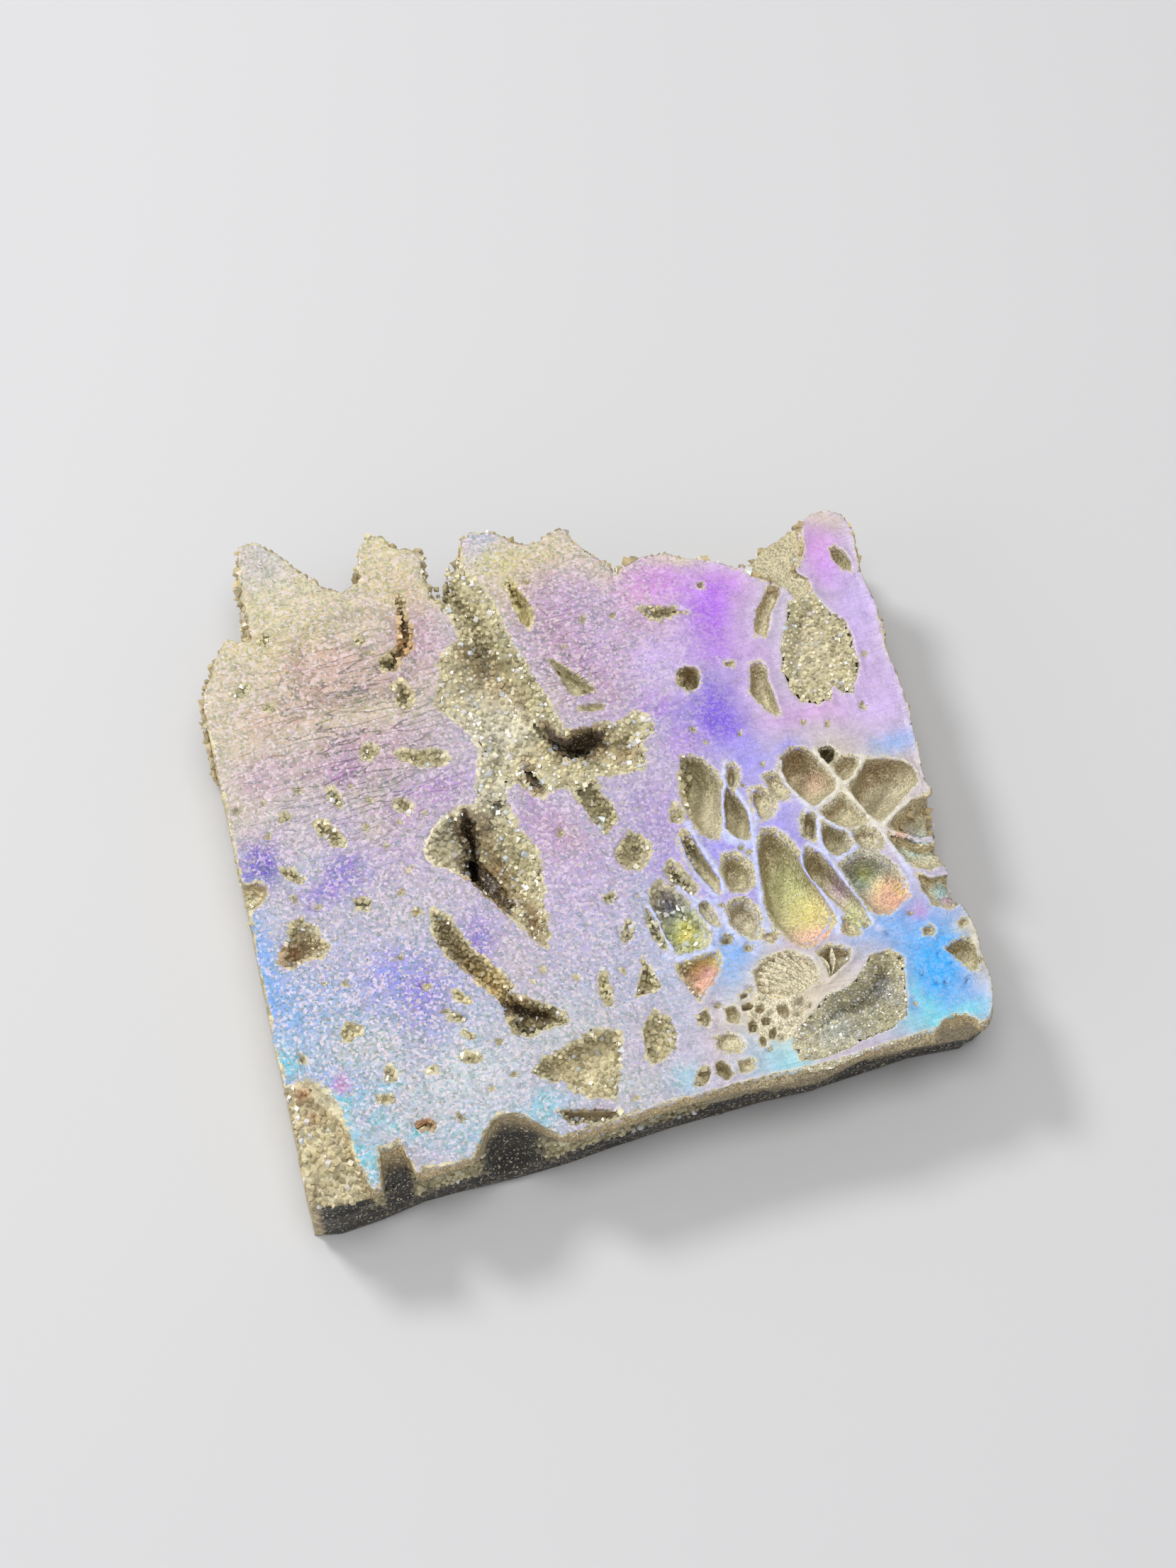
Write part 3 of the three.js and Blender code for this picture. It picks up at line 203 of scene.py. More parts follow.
# Soft patches of the coat, in the order that they are laid: x, y, reach along x, reach along y,
# colour, strength.
COAT_PATCHES = [
    # the pale back left
    (-28, 22, 17, 22, FAWN, 1.0), (-27, 33, 16, 12, CREAM, 0.9), (-36, 12, 5, 16, CREAM, 0.6),
    (-27, 39, 4, 5, ICE, 0.35), (-13, 35, 5, 5, CREAM, 0.9), (-11, 30, 3, 3, STRAW, 0.6),
    (-34, 27, 4, 3, CREAM, 0.7), (-24, 24, 6, 3, BLUSH, 0.7), (-20, 20, 7, 3, BLUSH, 0.6),
    (-13, 29, 3, 5, BLUSH, 0.5), (-11.6, 24, 3, 5, ROSE, 0.7), (-30, 18, 6, 2.4, BLUSH, 0.5),
    (-14, 31, 2, 3, STRAW, 0.5), (-19, 15, 7, 2.4, CREAM, 0.5), (-12, 18, 2.4, 3, FAWN, 0.6),
    # the left middle
    (-22, 11, 8, 2.6, ROSE, 0.7), (-34, 10.5, 3.4, 3, MAUVE, 0.5), (-24.3, 9.3, 3, 2.4, MAUVE, 0.6),
    (-30, 4, 6, 4, PALE_LILAC, 0.6), (-22, 4.6, 6, 2, STRAW, 0.35), (-36.6, 0.2, 2.6, 3, INDIGO, 0.8),
    (-30.2, -5.2, 3.4, 2.4, INDIGO, 0.62), (-27, -2.6, 2.2, 3, INDIGO, 0.55),
    (-26, 3, 3, 3, DUSKY, 0.3), (-15, 4.2, 5, 2.6, LILAC, 0.9), (-15, 3.4, 2.4, 1.6, MAUVE, 0.5),
    (-21, -3, 4, 4, LILAC, 0.5), (-22, -12, 6, 5, FAWN, 0.35), (-20, 2, 3, 2, MAUVE, 0.4),
    (-33, -1.6, 3, 1.6, ICE, 0.5),
    # the blue lower left
    (-31, -19, 15, 12, ICE, 0.9), (-30, -14, 7, 5, PALE_LILAC, 0.5), (-38.6, -12, 2, 9, SKY, 0.8),
    (-36, -19, 5, 5, SKY, 0.35), (-31, -25, 5, 4, MIST, 0.7), (-23.4, -21.5, 4, 5, INDIGO, 0.3),
    (-26, -17, 4, 3, PERIWINKLE, 0.5), (-39.3, -24.4, 1.8, 2.4, AQUA, 0.9),
    (-35.6, -28.4, 4, 2.2, SKY, 0.7), (-34.4, -28.2, 1, 1.2, MAGENTA, 0.8),
    (-33.4, -37, 2.2, 4, AQUA, 0.7), (-25, -33, 9, 6, MIST, 0.7), (-22, -33, 5, 3, ICE, 0.5),
    (-21, -38, 6, 2, AQUA, 0.4), (-15, -15.6, 2.2, 4.4, DUSKY, 0.5), (-18, -26, 5, 4, ICE, 0.6),
    (-33, -33, 3, 3, ICE, 0.5),
    # the lilac middle
    (-2, -12, 8, 8, LILAC, 0.55), (-5, -3, 3, 4, MAUVE, 0.55), (-2.4, -6, 2, 3, ROSE, 0.6),
    (-2, -22, 8, 7, ICE, 0.6), (-3, -21, 5, 4, PALE_LILAC, 0.5), (-9, -29, 7, 3.4, MIST, 0.7),
    (-13.5, -37.6, 3, 2.6, AQUA, 0.7), (2.4, -38.2, 2.6, 2.2, AQUA, 0.7), (-4, -37.6, 4, 3, MIST, 0.7),
    (3.6, -30, 2, 5, ICE, 0.6), (3.6, -12, 3, 5, PALE_LILAC, 0.5), (-12, -20, 3, 5, FAWN, 0.3),
    # the back of the middle mass
    (3, 30, 10, 5, CREAM, 1.0), (3, 29, 6, 2.4, STRAW, 0.5), (0, 31.4, 2.4, 1.6, STRAW, 1.0),
    (-1.6, 34.4, 2, 1.6, ICE, 0.7), (3.6, 22.6, 5, 6, ROSE, 0.75), (6, 24, 4, 4, LILAC, 0.4),
    (-1.4, 27, 1.6, 4, FAWN, 0.7), (8, 15, 5, 6, LILAC, 0.6), (7, 12, 4, 5, ROSE, 0.5),
    (4, 17, 3, 4, ROSE, 0.5), (12, 25.6, 3, 2, CREAM, 0.7), (15, 14, 4, 4, LILAC, 0.7),
    (14, 18, 3, 3, ROSE, 0.4), (1.6, 12, 1.4, 3, FAWN, 0.5),
    # the vivid right
    (17, 23, 5, 3.4, ORCHID, 0.95), (13.8, 22, 2, 2, ROSE, 0.5), (21, 25.8, 4, 1, CREAM, 0.7),
    (24, 20, 4, 3.4, ORCHID, 0.8), (22.2, 18, 3.6, 4, VIOLET, 0.9), (21.8, 13, 4, 4, VIOLET, 0.75),
    (24, 9, 2.4, 5, LILAC, 0.9), (12.4, 7.4, 2.6, 2.2, VIOLET, 0.45), (16.6, 5, 4.6, 3.6, INDIGO, 0.5),
    (19.6, 4, 2.8, 4.4, INDIGO, 0.85), (20.6, -2, 2.4, 3.6, PERIWINKLE, 0.9),
    (14.4, 1.6, 3, 1.8, VIOLET, 0.4), (26, 2.4, 4, 3, LILAC, 0.8), (31, 1.4, 6, 1.6, ORCHID, 0.6),
    (37.6, 1, 3.4, 4, PERIWINKLE, 0.35), (37, 3, 4, 6, LILAC, 0.8), (38.8, 12, 3, 7, LILAC, 0.8),
    (39, 14, 1.6, 5, PERIWINKLE, 0.4), (37, 22, 2.6, 4, ORCHID, 0.85), (38.6, 26, 2, 1.4, CREAM, 0.6),
    (37.4, 20, 1.6, 2, VIOLET, 0.4), (37.8, -4.4, 4.4, 1.8, PERIWINKLE, 0.7),
    (38, -4.8, 3, 1.2, SKY, 0.5), (26, 13, 1.6, 5, LILAC, 0.7),
    # the boxwork's walls and the blue front right
    (20, -14, 10, 10, PERIWINKLE, 0.75), (9, -9, 4, 7, DUSKY, 0.5), (10, -6, 2, 4, LILAC, 0.5),
    (12, -25, 5, 3, SKY, 0.7), (10.6, -28, 2.6, 3, AZURE, 0.45), (24.4, -10, 2.4, 4, PERIWINKLE, 0.9),
    (4.4, -20, 2, 7, ICE, 0.6), (32, -8, 8, 6, CREAM, 0.9), (25.4, -3.4, 2, 1.6, PERIWINKLE, 0.9),
    (27, -12.4, 4, 2, CREAM, 0.5), (19, -30, 8, 6, CREAM, 0.7), (14, -34, 6, 4, CREAM, 0.6),
    (30, -26, 8, 2.8, SKY, 0.85), (34, -33, 5.4, 6.4, AZURE, 1.0), (30.4, -38, 4, 2.4, AQUA, 0.9),
    (35.6, -37.4, 3, 2.6, SKY, 0.6), (38, -35.6, 1.4, 4, ICE, 0.8), (13, -38.2, 3, 2.4, AQUA, 0.9),
    (11, -36, 2, 3, ICE, 0.6), (33.8, -25, 1.2, 1.2, MAGENTA, 0.5), (21, -26.4, 4, 0.9, ROSE, 0.5),
    (30.2, -35, 0.7, 2.4, LILAC, 0.7), (15.2, -37.6, 1.6, 2.2, AQUA, 1.0),
    # streaks and spots
    (-35, -30.4, 2.6, 1.2, AQUA, 0.8), (-34.4, -33, 0.9, 3, AQUA, 0.8), (-34.6, -38, 1.4, 2, AQUA, 0.9),
    (-31, -33.4, 0.8, 1, AQUA, 0.8), (-29.4, -35.2, 0.8, 1, AQUA, 0.8), (-27.6, -37, 0.9, 1, AQUA, 0.8),
    (-30.4, -29.6, 2.4, 0.8, AQUA, 0.6), (-36.3, 0.4, 2, 2.2, DUSK, 0.6),
    (-27, -3, 1.8, 1.6, DUSK, 0.3), (-30.4, -5.2, 2.2, 1.4, DUSKY, 0.6),
    (-27, -2.4, 1.2, 1.8, DUSKY, 0.6), (-15.4, -15.4, 1, 2.8, INDIGO, 0.35),
    (-22.6, -21, 2.4, 4, INDIGO, 0.25), (-34.3, -28, 0.8, 0.9, MAGENTA, 0.4),
    (15.4, -33.6, 3.4, 3.4, CREAM, 0.9), (34.4, -31.6, 3.4, 3.6, AZURE, 0.9),
    (31.4, -36.6, 3, 2, AZURE, 0.6), (22.4, 17.4, 2.4, 2.4, VIOLET, 0.7),
    (19.4, 3.4, 1.8, 3, INDIGO, 0.6), (14, -15, 5, 5, PERIWINKLE, 0.5), (12, -25, 2, 2.4, SKY, 0.7),
    (20, -12, 3, 5, PERIWINKLE, 0.5), (38.6, 12, 2.6, 6, BRIGHT_LILAC, 0.7),
    (37.4, 1, 3, 3, BRIGHT_LILAC, 0.7), (38.2, -5, 3, 1.6, SKY, 0.6), (38.6, -32, 1, 4, CREAM, 0.9),
    (37.4, -29.4, 1.6, 1.2, CREAM, 0.7), (30.8, -36.2, 1, 3, BRIGHT_AQUA, 0.8),
    (33, -39.2, 5, 1.2, BRIGHT_AQUA, 0.8), (13, -38.6, 3, 1.6, AQUA, 0.3),
    (20, -12, 8, 7, PERIWINKLE, 0.35), (12, -26, 4, 3, SKY, 0.3), (15.2, 13, 3, 3, BRIGHT_LILAC, 0.6),
    (-20, -31, 5, 4, PALE_MIST, 0.5), (-34, 25, 3, 3, FAWN, 0.5), (-23, 1.4, 3, 1.2, STRAW, 0.3),
    (-28, 26, 5, 2, STRAW, 0.3), (-12, 37.4, 2, 2, STRAW, 0.7), (-0.6, 36, 2, 1, ICE, 0.6),
]

# Soft patches of the bare stone and of the floors of hollows and cells, in the same form.
BARE_PATCHES = [
    (-6.4, 18, 1.8, 3, BROWN, 0.3), (-4.4, 14.4, 1.6, 3, BROWN, 0.6), (-2.6, 11.4, 1.1, 2, UMBER, 0.5),
    (-7.4, 20.4, 1, 0.9, UMBER, 0.7), (-6, 8, 4.6, 4, GREY_STONE, 0.8),
    (-8, 13, 3.4, 4, PALE_STONE, 0.6), (-2.6, 19, 1.2, 4, OLIVE, 0.7), (-0.8, 14, 1.1, 3, OLIVE, 0.7),
    (1, 10.4, 1, 1.6, OLIVE, 0.6), (6.4, 7, 3, 0.9, OLIVE, 0.5), (6, 3.4, 2, 1.6, TAN, 0.5),
    (-1.6, 4.6, 3, 1.6, TAN, 0.5), (-10, 2, 3, 4, GREY_STONE, 0.9), (-7, 10, 3, 3, GREY_STONE, 0.8),
    (-10.4, 7, 2.6, 4, PALE_STONE, 0.6), (-16.4, -3.4, 2.2, 4, GREY_STONE, 1.0),
    (-16.4, -4.4, 2.4, 4, IVORY, 1.0), (7.6, 2.4, 1.6, 1, BROWN, 0.5), (-4.5, 3, 0.8, 1.6, UMBER, 0.6),
    (2.4, -5, 1.6, 2.2, OLIVE, 0.5), (-11.2, -3, 0.9, 4, UMBER, 0.5), (-10.6, -9.4, 1.2, 3, BROWN, 0.7),
    (-8.6, -15, 1.1, 3, UMBER, 0.75), (-8.4, -7, 2, 5, OLIVE, 0.3), (-18.8, -15.4, 1.1, 2.6, TAN, 0.6),
    (-17.4, -18.6, 1, 3, BROWN, 0.7), (-15.6, -22, 1.8, 3.4, SLOT_TAN, 1.0),
    (-12.6, -24, 1.6, 1, BROWN, 0.5), (-35.6, -11.6, 2.2, 1.2, RUST, 0.6),
    (-26.6, -35.6, 1.4, 0.8, RUST, 0.9), (-39, -28.6, 1, 1, RUST, 0.7),
    # the dark brown patches along the front edge, in this line and the next, are painted shade
    (-38.3, -31.8, 0.9, 0.9, RUST, 0.6), (-17.8, -39.4, 4, 2.6, DARK_BROWN, 0.9),
    (-31, -39.6, 1.4, 2.4, DARK_BROWN, 0.8), (-9, -39.4, 3, 0.9, DARK_BROWN, 0.8),
    (-38, -37, 3, 4, TAN, 0.5), (-13.6, 23.4, 1.8, 5.6, RUST_TAN, 1.0),
    (17.2, 9.9, 1.1, 1.2, BROWN, 0.9), (0.9, 25, 1, 4, GOLD, 0.45), (4, 13.6, 1.8, 2.6, OLIVE, 0.6),
    (5, 9.2, 2, 0.6, OLIVE, 0.5), (29.9, -4, 1, 1, DARK_BROWN, 0.95),
    # the boxwork's cells, with rings of colour round the bright ones
    (7.4, -20, 2.6, 4.4, BLUE_GREY, 0.35), (7.7, -20.8, 2, 2.6, BRIGHT_TEAL, 0.6),
    (7.8, -21.2, 1.5, 1.8, BRIGHT_GOLD, 1.0), (20, -19.6, 2.2, 3, LIME, 0.25),
    (21.4, -23, 2.2, 2.4, BRIGHT_GOLD, 0.5), (22.4, -25.8, 2, 0.9, CORAL, 0.8),
    (29.3, -20, 3, 3, BLUE_GREY, 0.4), (29.3, -20, 1.9, 1.9, BRIGHT_TEAL, 0.5),
    (29.4, -20, 1.1, 1.3, LIME, 0.7), (30.6, -21.2, 1.4, 0.9, GREY_STONE, 0.6),
    (31.6, -23.6, 1.8, 1.8, CORAL, 0.85), (30.4, -22.4, 0.9, 1.4, BRIGHT_GOLD, 0.6),
    (14.3, -21.6, 1.6, 2.4, GREY_STONE, 0.6), (14.4, -20.4, 1, 0.8, BLUE_GREY, 0.4),
    (26, -20.6, 0.9, 1.8, MAUVE, 0.4), (26.6, -24.6, 0.9, 1.8, LIME, 0.4),
    (8.6, -26, 1.2, 1.2, BRIGHT_GOLD, 0.6), (7.6, -28, 1.3, 1.4, CORAL, 0.4),
    (35.6, -18, 2.4, 1.2, BRIGHT_TEAL, 0.6), (14, -3, 1.6, 2.4, OLIVE, 0.7),
    (14.6, -7.6, 1.6, 2.6, PALE_STONE, 0.35), (26.4, -4, 2, 2, BROWN, 0.45),
    (27.4, -7.6, 1.8, 1.6, PINK_ORANGE, 0.45), (34.6, -7.6, 3, 1.2, BROWN, 0.75),
    (35, -11, 3, 1.4, PALE_STONE, 0.6), (35, -8, 4, 3, PALE_STONE, 0.4),
    (16.8, -29.4, 4.4, 3, TAN, 0.9), (23, -29.4, 2, 1.6, PALE_STONE, 0.6),
    (20.4, -13.6, 1.6, 2.4, KHAKI, 0.5), (20.8, -20, 2.2, 4, YELLOW_GREEN, 0.35),
    (22.2, -23.6, 2, 1.8, GOLD, 0.6), (21, -25.6, 2.2, 0.9, PINK_ORANGE, 0.7),
    (6.6, -17.4, 1, 1.8, INDIGO, 0.3), (7.4, -21.6, 1.8, 1.8, YELLOW_GREEN, 0.85),
    (7.6, -21.8, 0.9, 0.9, GOLD, 0.8), (7.8, -25.6, 2.4, 1.4, GOLD, 0.7),
    (7.8, -27.8, 1.8, 1.4, PINK_ORANGE, 0.8), (8.8, -26.8, 0.8, 0.8, MAGENTA, 0.5),
    (14.4, -21.4, 1.2, 1.2, PALE_STONE, 0.5), (25, -17.6, 1.4, 2.2, TAN, 0.5),
    (26, -21, 0.9, 1.6, MAUVE, 0.4), (29.2, -19.6, 1.8, 1.6, TEAL, 0.4),
    (29.4, -20, 0.9, 0.9, YELLOW_GREEN, 0.9), (31, -23.2, 1.6, 1.2, PINK_ORANGE, 0.85),
    (32.4, -23, 0.8, 0.9, GOLD, 0.5), (36.2, -18.2, 1.8, 1.6, TEAL, 0.7),
    (34.6, -16, 0.9, 0.7, PINK_ORANGE, 0.8), (36, -17, 1.2, 1, MAUVE, 0.4),
    (37.2, -24.6, 1, 1.8, TEAL, 0.9), (37.4, -25.8, 0.6, 0.8, MAGENTA, 0.6),
    (16.6, -29, 3.6, 2.6, PALE_STONE, 0.9), (15.6, -33, 2.6, 1.8, PALE_STONE, 0.8),
    (24, -36, 6, 4, GREY_KHAKI, 0.9), (20.4, -37.6, 2.4, 1.8, MIST, 0.6),
    (14.4, -33.4, 4, 3.6, PALE_STONE, 0.75), (27.4, -34.4, 1.4, 1.4, ICE, 0.35),
    (-9, -33, 3.4, 2, TAN, 0.5), (-6, -34, 1.8, 2.6, KHAKI, 0.4), (32, 9, 3.6, 4.6, PALE_STONE, 0.5),
    (32, 24, 3, 2.6, TAN, 0.4),
]

# Vugs too small for the solid, by radius and depth.
VUGS_BY_SIZE = {
    (0.5, 0.5): [
        (-37.5, 7.6), (-23.8, 1.6), (-20, 1), (-33.8, -5.2), (-31.5, -6.8), (-22, -7.6), (-16.1, -28.2),
        (-18.5, -33.4), (-17.9, 23.4), (-2.6, -5.4), (-5.7, -23.1), (-9.1, -21.1), (-3.2, -38.8),
        (10.8, -18.5), (28.6, -14.4), (15.2, -16.9), (27.6, -25.6), (38.2, -30.8),
    ],
    (0.4, 0.4): [
        (-34.4, 7.6), (-22.7, 4.6), (-16.8, 1.4), (-22.2, -1.4), (-33.2, -16), (-24.2, -15.4),
        (-18.3, -22.4), (-0.5, -23.8), (-10.6, -22.2), (-26.4, 12.6), (-20.4, -5), (22.3, -3.2),
        (24.2, -13.2), (12.6, -19),
    ],
    (0.5, 0.4): [
        (-30.2, 8.2), (7.4, 20.6), (11, 20.2), (31, -0.3), (35.6, 0.9),
    ],
    (0.45, 0.5): [
        (-20.8, -23.1), (15.8, 3.4), (32.9, -25.8), (16.7, -12.7), (38.6, -33.4),
    ],
    (0.35, 0.6): [(4.3, 17.8), (14.4, -36.3), (13.6, -31.4), (15.9, -35.2)],
    (0.6, 0.6): [(-37.7, -24.3), (11.7, -23.2), (12.1, -23.1), (13.9, -24.8)],
    (0.25, 0.3): [(32.6, -30.2), (35.4, -33), (31.8, -33.4), (29.6, -27.4)],
    (0.4, 0.7): [(12.6, -29.9), (14.6, -35.2), (12.3, -33.2), (13.9, -33.2)],
    (0.35, 0.4): [(16.8, 1.4), (19.2, -5.2), (18.2, -20.4)],
    (0.3, 0.3): [(33.1, -34.8), (36.2, -30.6), (36.4, -35.4)],
    (0.45, 0.4): [(-24.3, 7), (-15.6, -32.4)],
    (0.5, 0.6): [(-34.9, 3.4), (8.6, -30.6)],
    (0.55, 0.5): [(-30.9, -16.7), (-22.6, -35.8)],
    (0.55, 0.6): [(-22.2, -19.5), (11, -6.7)],
    (0.35, 0.5): [(3.7, -15.4), (18.5, -33.3)],
    (0.35, 0.3): [(20.8, 1.2), (30, -36.5)],
    (0.4, 0.3): [(28.5, 0.7), (37.9, 7.4)],
    (0.5, 0.8): [(2.5, 27.4), (16.9, -34)],
    (0.3, 0.35): [(34.4, -31.2), (34, -35)],
    (0.3, 0.5): [(4.4, 16.8)],
    (0.65, 0.6): [(17, -24.4)],
    (0.4, 0.5): [(17.5, -13.5)],
    (0.65, 0.9): [(17.5, -32.7)],
    (0.4, 0.6): [(12.7, -37.3)],
}
TINY_VUGS = [(*place, *size) for size, places in VUGS_BY_SIZE.items() for place in places]

PINHOLE = 0.31  # vugs up to this radius are coated inside
VUG_SHADE = 0.4

# Corners of the top that have lost their coat: x, y, reach along x, reach along y.
WORN_CORNERS = [(-38.2, -34, 3.4, 7.5), (31.6, 23, 3.6, 3.4), (14.6, -33.4, 3.2, 3.4)]

# The blades of the fan: points along the top edge of each.
FAN_BLADES = [
    [(13.3, -29.4), (15.1, -30.2), (16.8, -31.2), (18.2, -31.8)],
    [(13.7, -28.5), (15.3, -29.4), (17, -30.8), (18.6, -31.8)],
    [(14.1, -27.8), (15.8, -28.8), (17.5, -30.4), (18.9, -31.7)],
    [(14.8, -27.3), (16.4, -28.5), (18, -30.2), (19.2, -31.6)],
    [(15.6, -27), (17.1, -28.2), (18.5, -29.9), (19.5, -31.5)],
    [(16.5, -26.8), (17.8, -28), (19, -29.7), (19.8, -31.3)],
    [(17.5, -26.8), (18.6, -28), (19.5, -29.5), (20.1, -31)],
    [(18.5, -26.9), (19.3, -28), (20, -29.3), (20.4, -30.6)],
    [(13.3, -30.4), (14.8, -31), (16.4, -31.6)], [(21.5, -28), (22, -29.2), (21.8, -30.6)],
    [(22.9, -27.5), (23, -28.8), (22.3, -30)], [(14.6, -28.2), (14.9, -29.2), (14.6, -30.4)],
    [(17.4, -28.2), (16.8, -29.4), (16.9, -30.6)],
]
BLADE_TOP = 14.55
BLADE_DROP = 1.7  # from a blade's top edge to its foot
BLADE_LEAN = np.array([-0.55, -0.75])  # the blades lean forward, so that their faces show
BLADE_HALF_WIDTH = 0.07
BLADE_STATIONS = 14


# ---- mesh arrays


def arrays_of(node):
    """Welded corners, in millimetres, and triangles of a CAD node."""
    mesh = node.data
    mesh.calc_loop_triangles()
    corners = np.empty(len(mesh.vertices) * 3)
    mesh.vertices.foreach_get("co", corners)
    triangles = np.empty(len(mesh.loop_triangles) * 3, dtype=np.int32)
    mesh.loop_triangles.foreach_get("vertices", triangles)
    world = np.array(node.matrix_world)
    corners = corners.reshape(-1, 3) @ world[:3, :3].T + world[:3, 3]
    keys = np.round(corners / MM, 3)
    welded, index = np.unique(keys, axis=0, return_inverse=True)
    triangles = index.reshape(-1)[triangles.reshape(-1, 3)]
    distinct = (triangles[:, 0] != triangles[:, 1]) & (triangles[:, 1] != triangles[:, 2])
    distinct &= triangles[:, 0] != triangles[:, 2]
    return welded, triangles[distinct]


def evened(corners, triangles):
    """The same surface with slender flat triangles flipped into rounder ones."""
    shape = bmesh.new()
    vertices = [shape.verts.new(c) for c in corners]
    for a, b, c in triangles:
        try:
            shape.faces.new((vertices[a], vertices[b], vertices[c]))
        except ValueError:
            pass
    shape.normal_update()
    flat = [e for e in shape.edges if len(e.link_faces) == 2 and e.calc_face_angle(1.0) < 0.001]
    bmesh.ops.beautify_fill(shape, faces=shape.faces[:], edges=flat, method="ANGLE")
    shape.verts.index_update()
    corners = np.array([v.co[:] for v in shape.verts])
    triangles = np.array([[v.index for v in f.verts] for f in shape.faces])
    shape.free()
    return corners, triangles


def edges_of(triangles):
    """Unique edges, and for each triangle the numbers of its three edges (ab, bc, ca)."""
    sides = np.sort(triangles[:, [0, 1, 1, 2, 2, 0]].reshape(-1, 2), axis=1).astype(np.int64)
    reach = int(triangles.max()) + 1
    keys, which = np.unique(sides[:, 0] * reach + sides[:, 1], return_inverse=True)
    return np.c_[keys // reach, keys % reach], which.reshape(-1, 3)


def refined(corners, triangles, wanted_length):
    """The surface with each triangle's longest edge split until it is as short as wanted."""
    while True:
        edges, of_triangle = edges_of(triangles)
        ends = corners[edges]
        middles = ends.mean(axis=1)
        lengths = np.linalg.norm(ends[:, 0] - ends[:, 1], axis=1)
        too_long = lengths > wanted_length(middles)
        sides = lengths[of_triangle]
        longest = of_triangle[np.arange(len(triangles)), np.argmax(sides, axis=1)]
        split = np.zeros(len(edges), dtype=bool)
        split[longest[too_long[of_triangle].any(axis=1)]] = True
        if not split.any():
            return corners, triangles
        number = np.full(len(edges), -1)
        number[split] = len(corners) + np.arange(split.sum())
        corners = np.vstack([corners, middles[split]])
        triangles = split_triangles(corners, triangles, number[of_triangle])


def split_triangles(corners, triangles, middles):
    """Each triangle cut at the middles given for its sides (-1 for a side that stays whole)."""
    marked = middles >= 0
    count = marked.sum(axis=1)
    pieces = [triangles[count == 0]]
    for wanted in (1, 2, 3):
        rows = np.flatnonzero(count == wanted)
        if not len(rows):
            continue
        lone = np.argmax(marked[rows] == (wanted == 1), axis=1)
        turn = (lone[:, None] + np.arange(3)) % 3
        a, b, c = np.take_along_axis(triangles[rows], turn, axis=1).T
        ab, bc, ca = np.take_along_axis(middles[rows], turn, axis=1).T
        if wanted == 1:
            pieces += [np.c_[a, ab, c], np.c_[ab, b, c]]
        elif wanted == 2:
            pieces += [np.c_[c, ca, bc]]
            across = np.linalg.norm(corners[a] - corners[bc], axis=1)
            other = np.linalg.norm(corners[b] - corners[ca], axis=1)
            near = across <= other
            pieces += [np.c_[a, b, bc][near], np.c_[a, bc, ca][near]]
            pieces += [np.c_[a, b, ca][~near], np.c_[b, bc, ca][~near]]
        else:
            pieces += [np.c_[a, ab, ca], np.c_[ab, b, bc], np.c_[ca, bc, c], np.c_[ab, bc, ca]]
    return np.vstack(pieces)


def unit(vectors):
    return vectors / np.maximum(np.linalg.norm(vectors, axis=1, keepdims=True), 1e-12)


def face_crosses(corners, triangles):
    """The normals of triangles, each as long as twice its area."""
    a, b, c = (corners[triangles[:, i]] for i in range(3))
    return np.cross(b - a, c - a)


def corner_normals(corners, triangles):
    """Normals at the corners, weighted by area."""
    cross = face_crosses(corners, triangles)
    total = np.zeros_like(corners)
    for i in range(3):
        np.add.at(total, triangles[:, i], cross)
    return unit(total)


def smoothed(corners, triangles, held, rounds):
    """The corners drawn half way to the mean of their neighbours, apart from the held ones."""
    edges, _ = edges_of(triangles)
    degree = np.bincount(edges.ravel(), minlength=len(corners))[:, None]
    for _ in range(rounds):
        total = np.zeros_like(corners)
        np.add.at(total, edges[:, 0], corners[edges[:, 1]])
        np.add.at(total, edges[:, 1], corners[edges[:, 0]])
        mean = total / np.maximum(degree, 1)
        corners = np.where(held[:, None], corners, 0.5 * corners + 0.5 * mean)
    return corners


def tree_of(points):
    tree = kdtree.KDTree(len(points))
    for i, point in enumerate(points):
        tree.insert(point, i)
    tree.balance()
    return tree


def distances_to(tree, points):
    return np.array([tree.find(p)[2] for p in points])


def level(points):
    """Points of the plane, set at height 0."""
    return np.c_[points, np.zeros(len(points))]


# ---- noise


def fractal(points, size, octaves, seed):
    """Smooth noise from about -1 to 1 whose largest features are size millimetres wide."""
    shift = Vector((seed * 17.3, seed * 31.7, seed * 7.9))
    return np.array([noise.fractal(Vector(p) / size + shift, 1.0, 2.0, octaves) for p in points])


def facets(points, size, seed):
    """Faceted noise from 0 to 1: each cell is highest in its middle."""
    shift = Vector((seed * 13.1, seed * 5.7, seed * 23.9))
    return np.array([1.0 - noise.voronoi(Vector(p) / size + shift)[0][0] for p in points])


def waver(points, size, seed):
    """Smooth vector noise."""
    shift = Vector((seed * 11.9, seed * 3.7, seed * 19.1))
    return np.array([noise.noise_vector(Vector(p) / size + shift)[:] for p in points])


# ---- the stone's surface


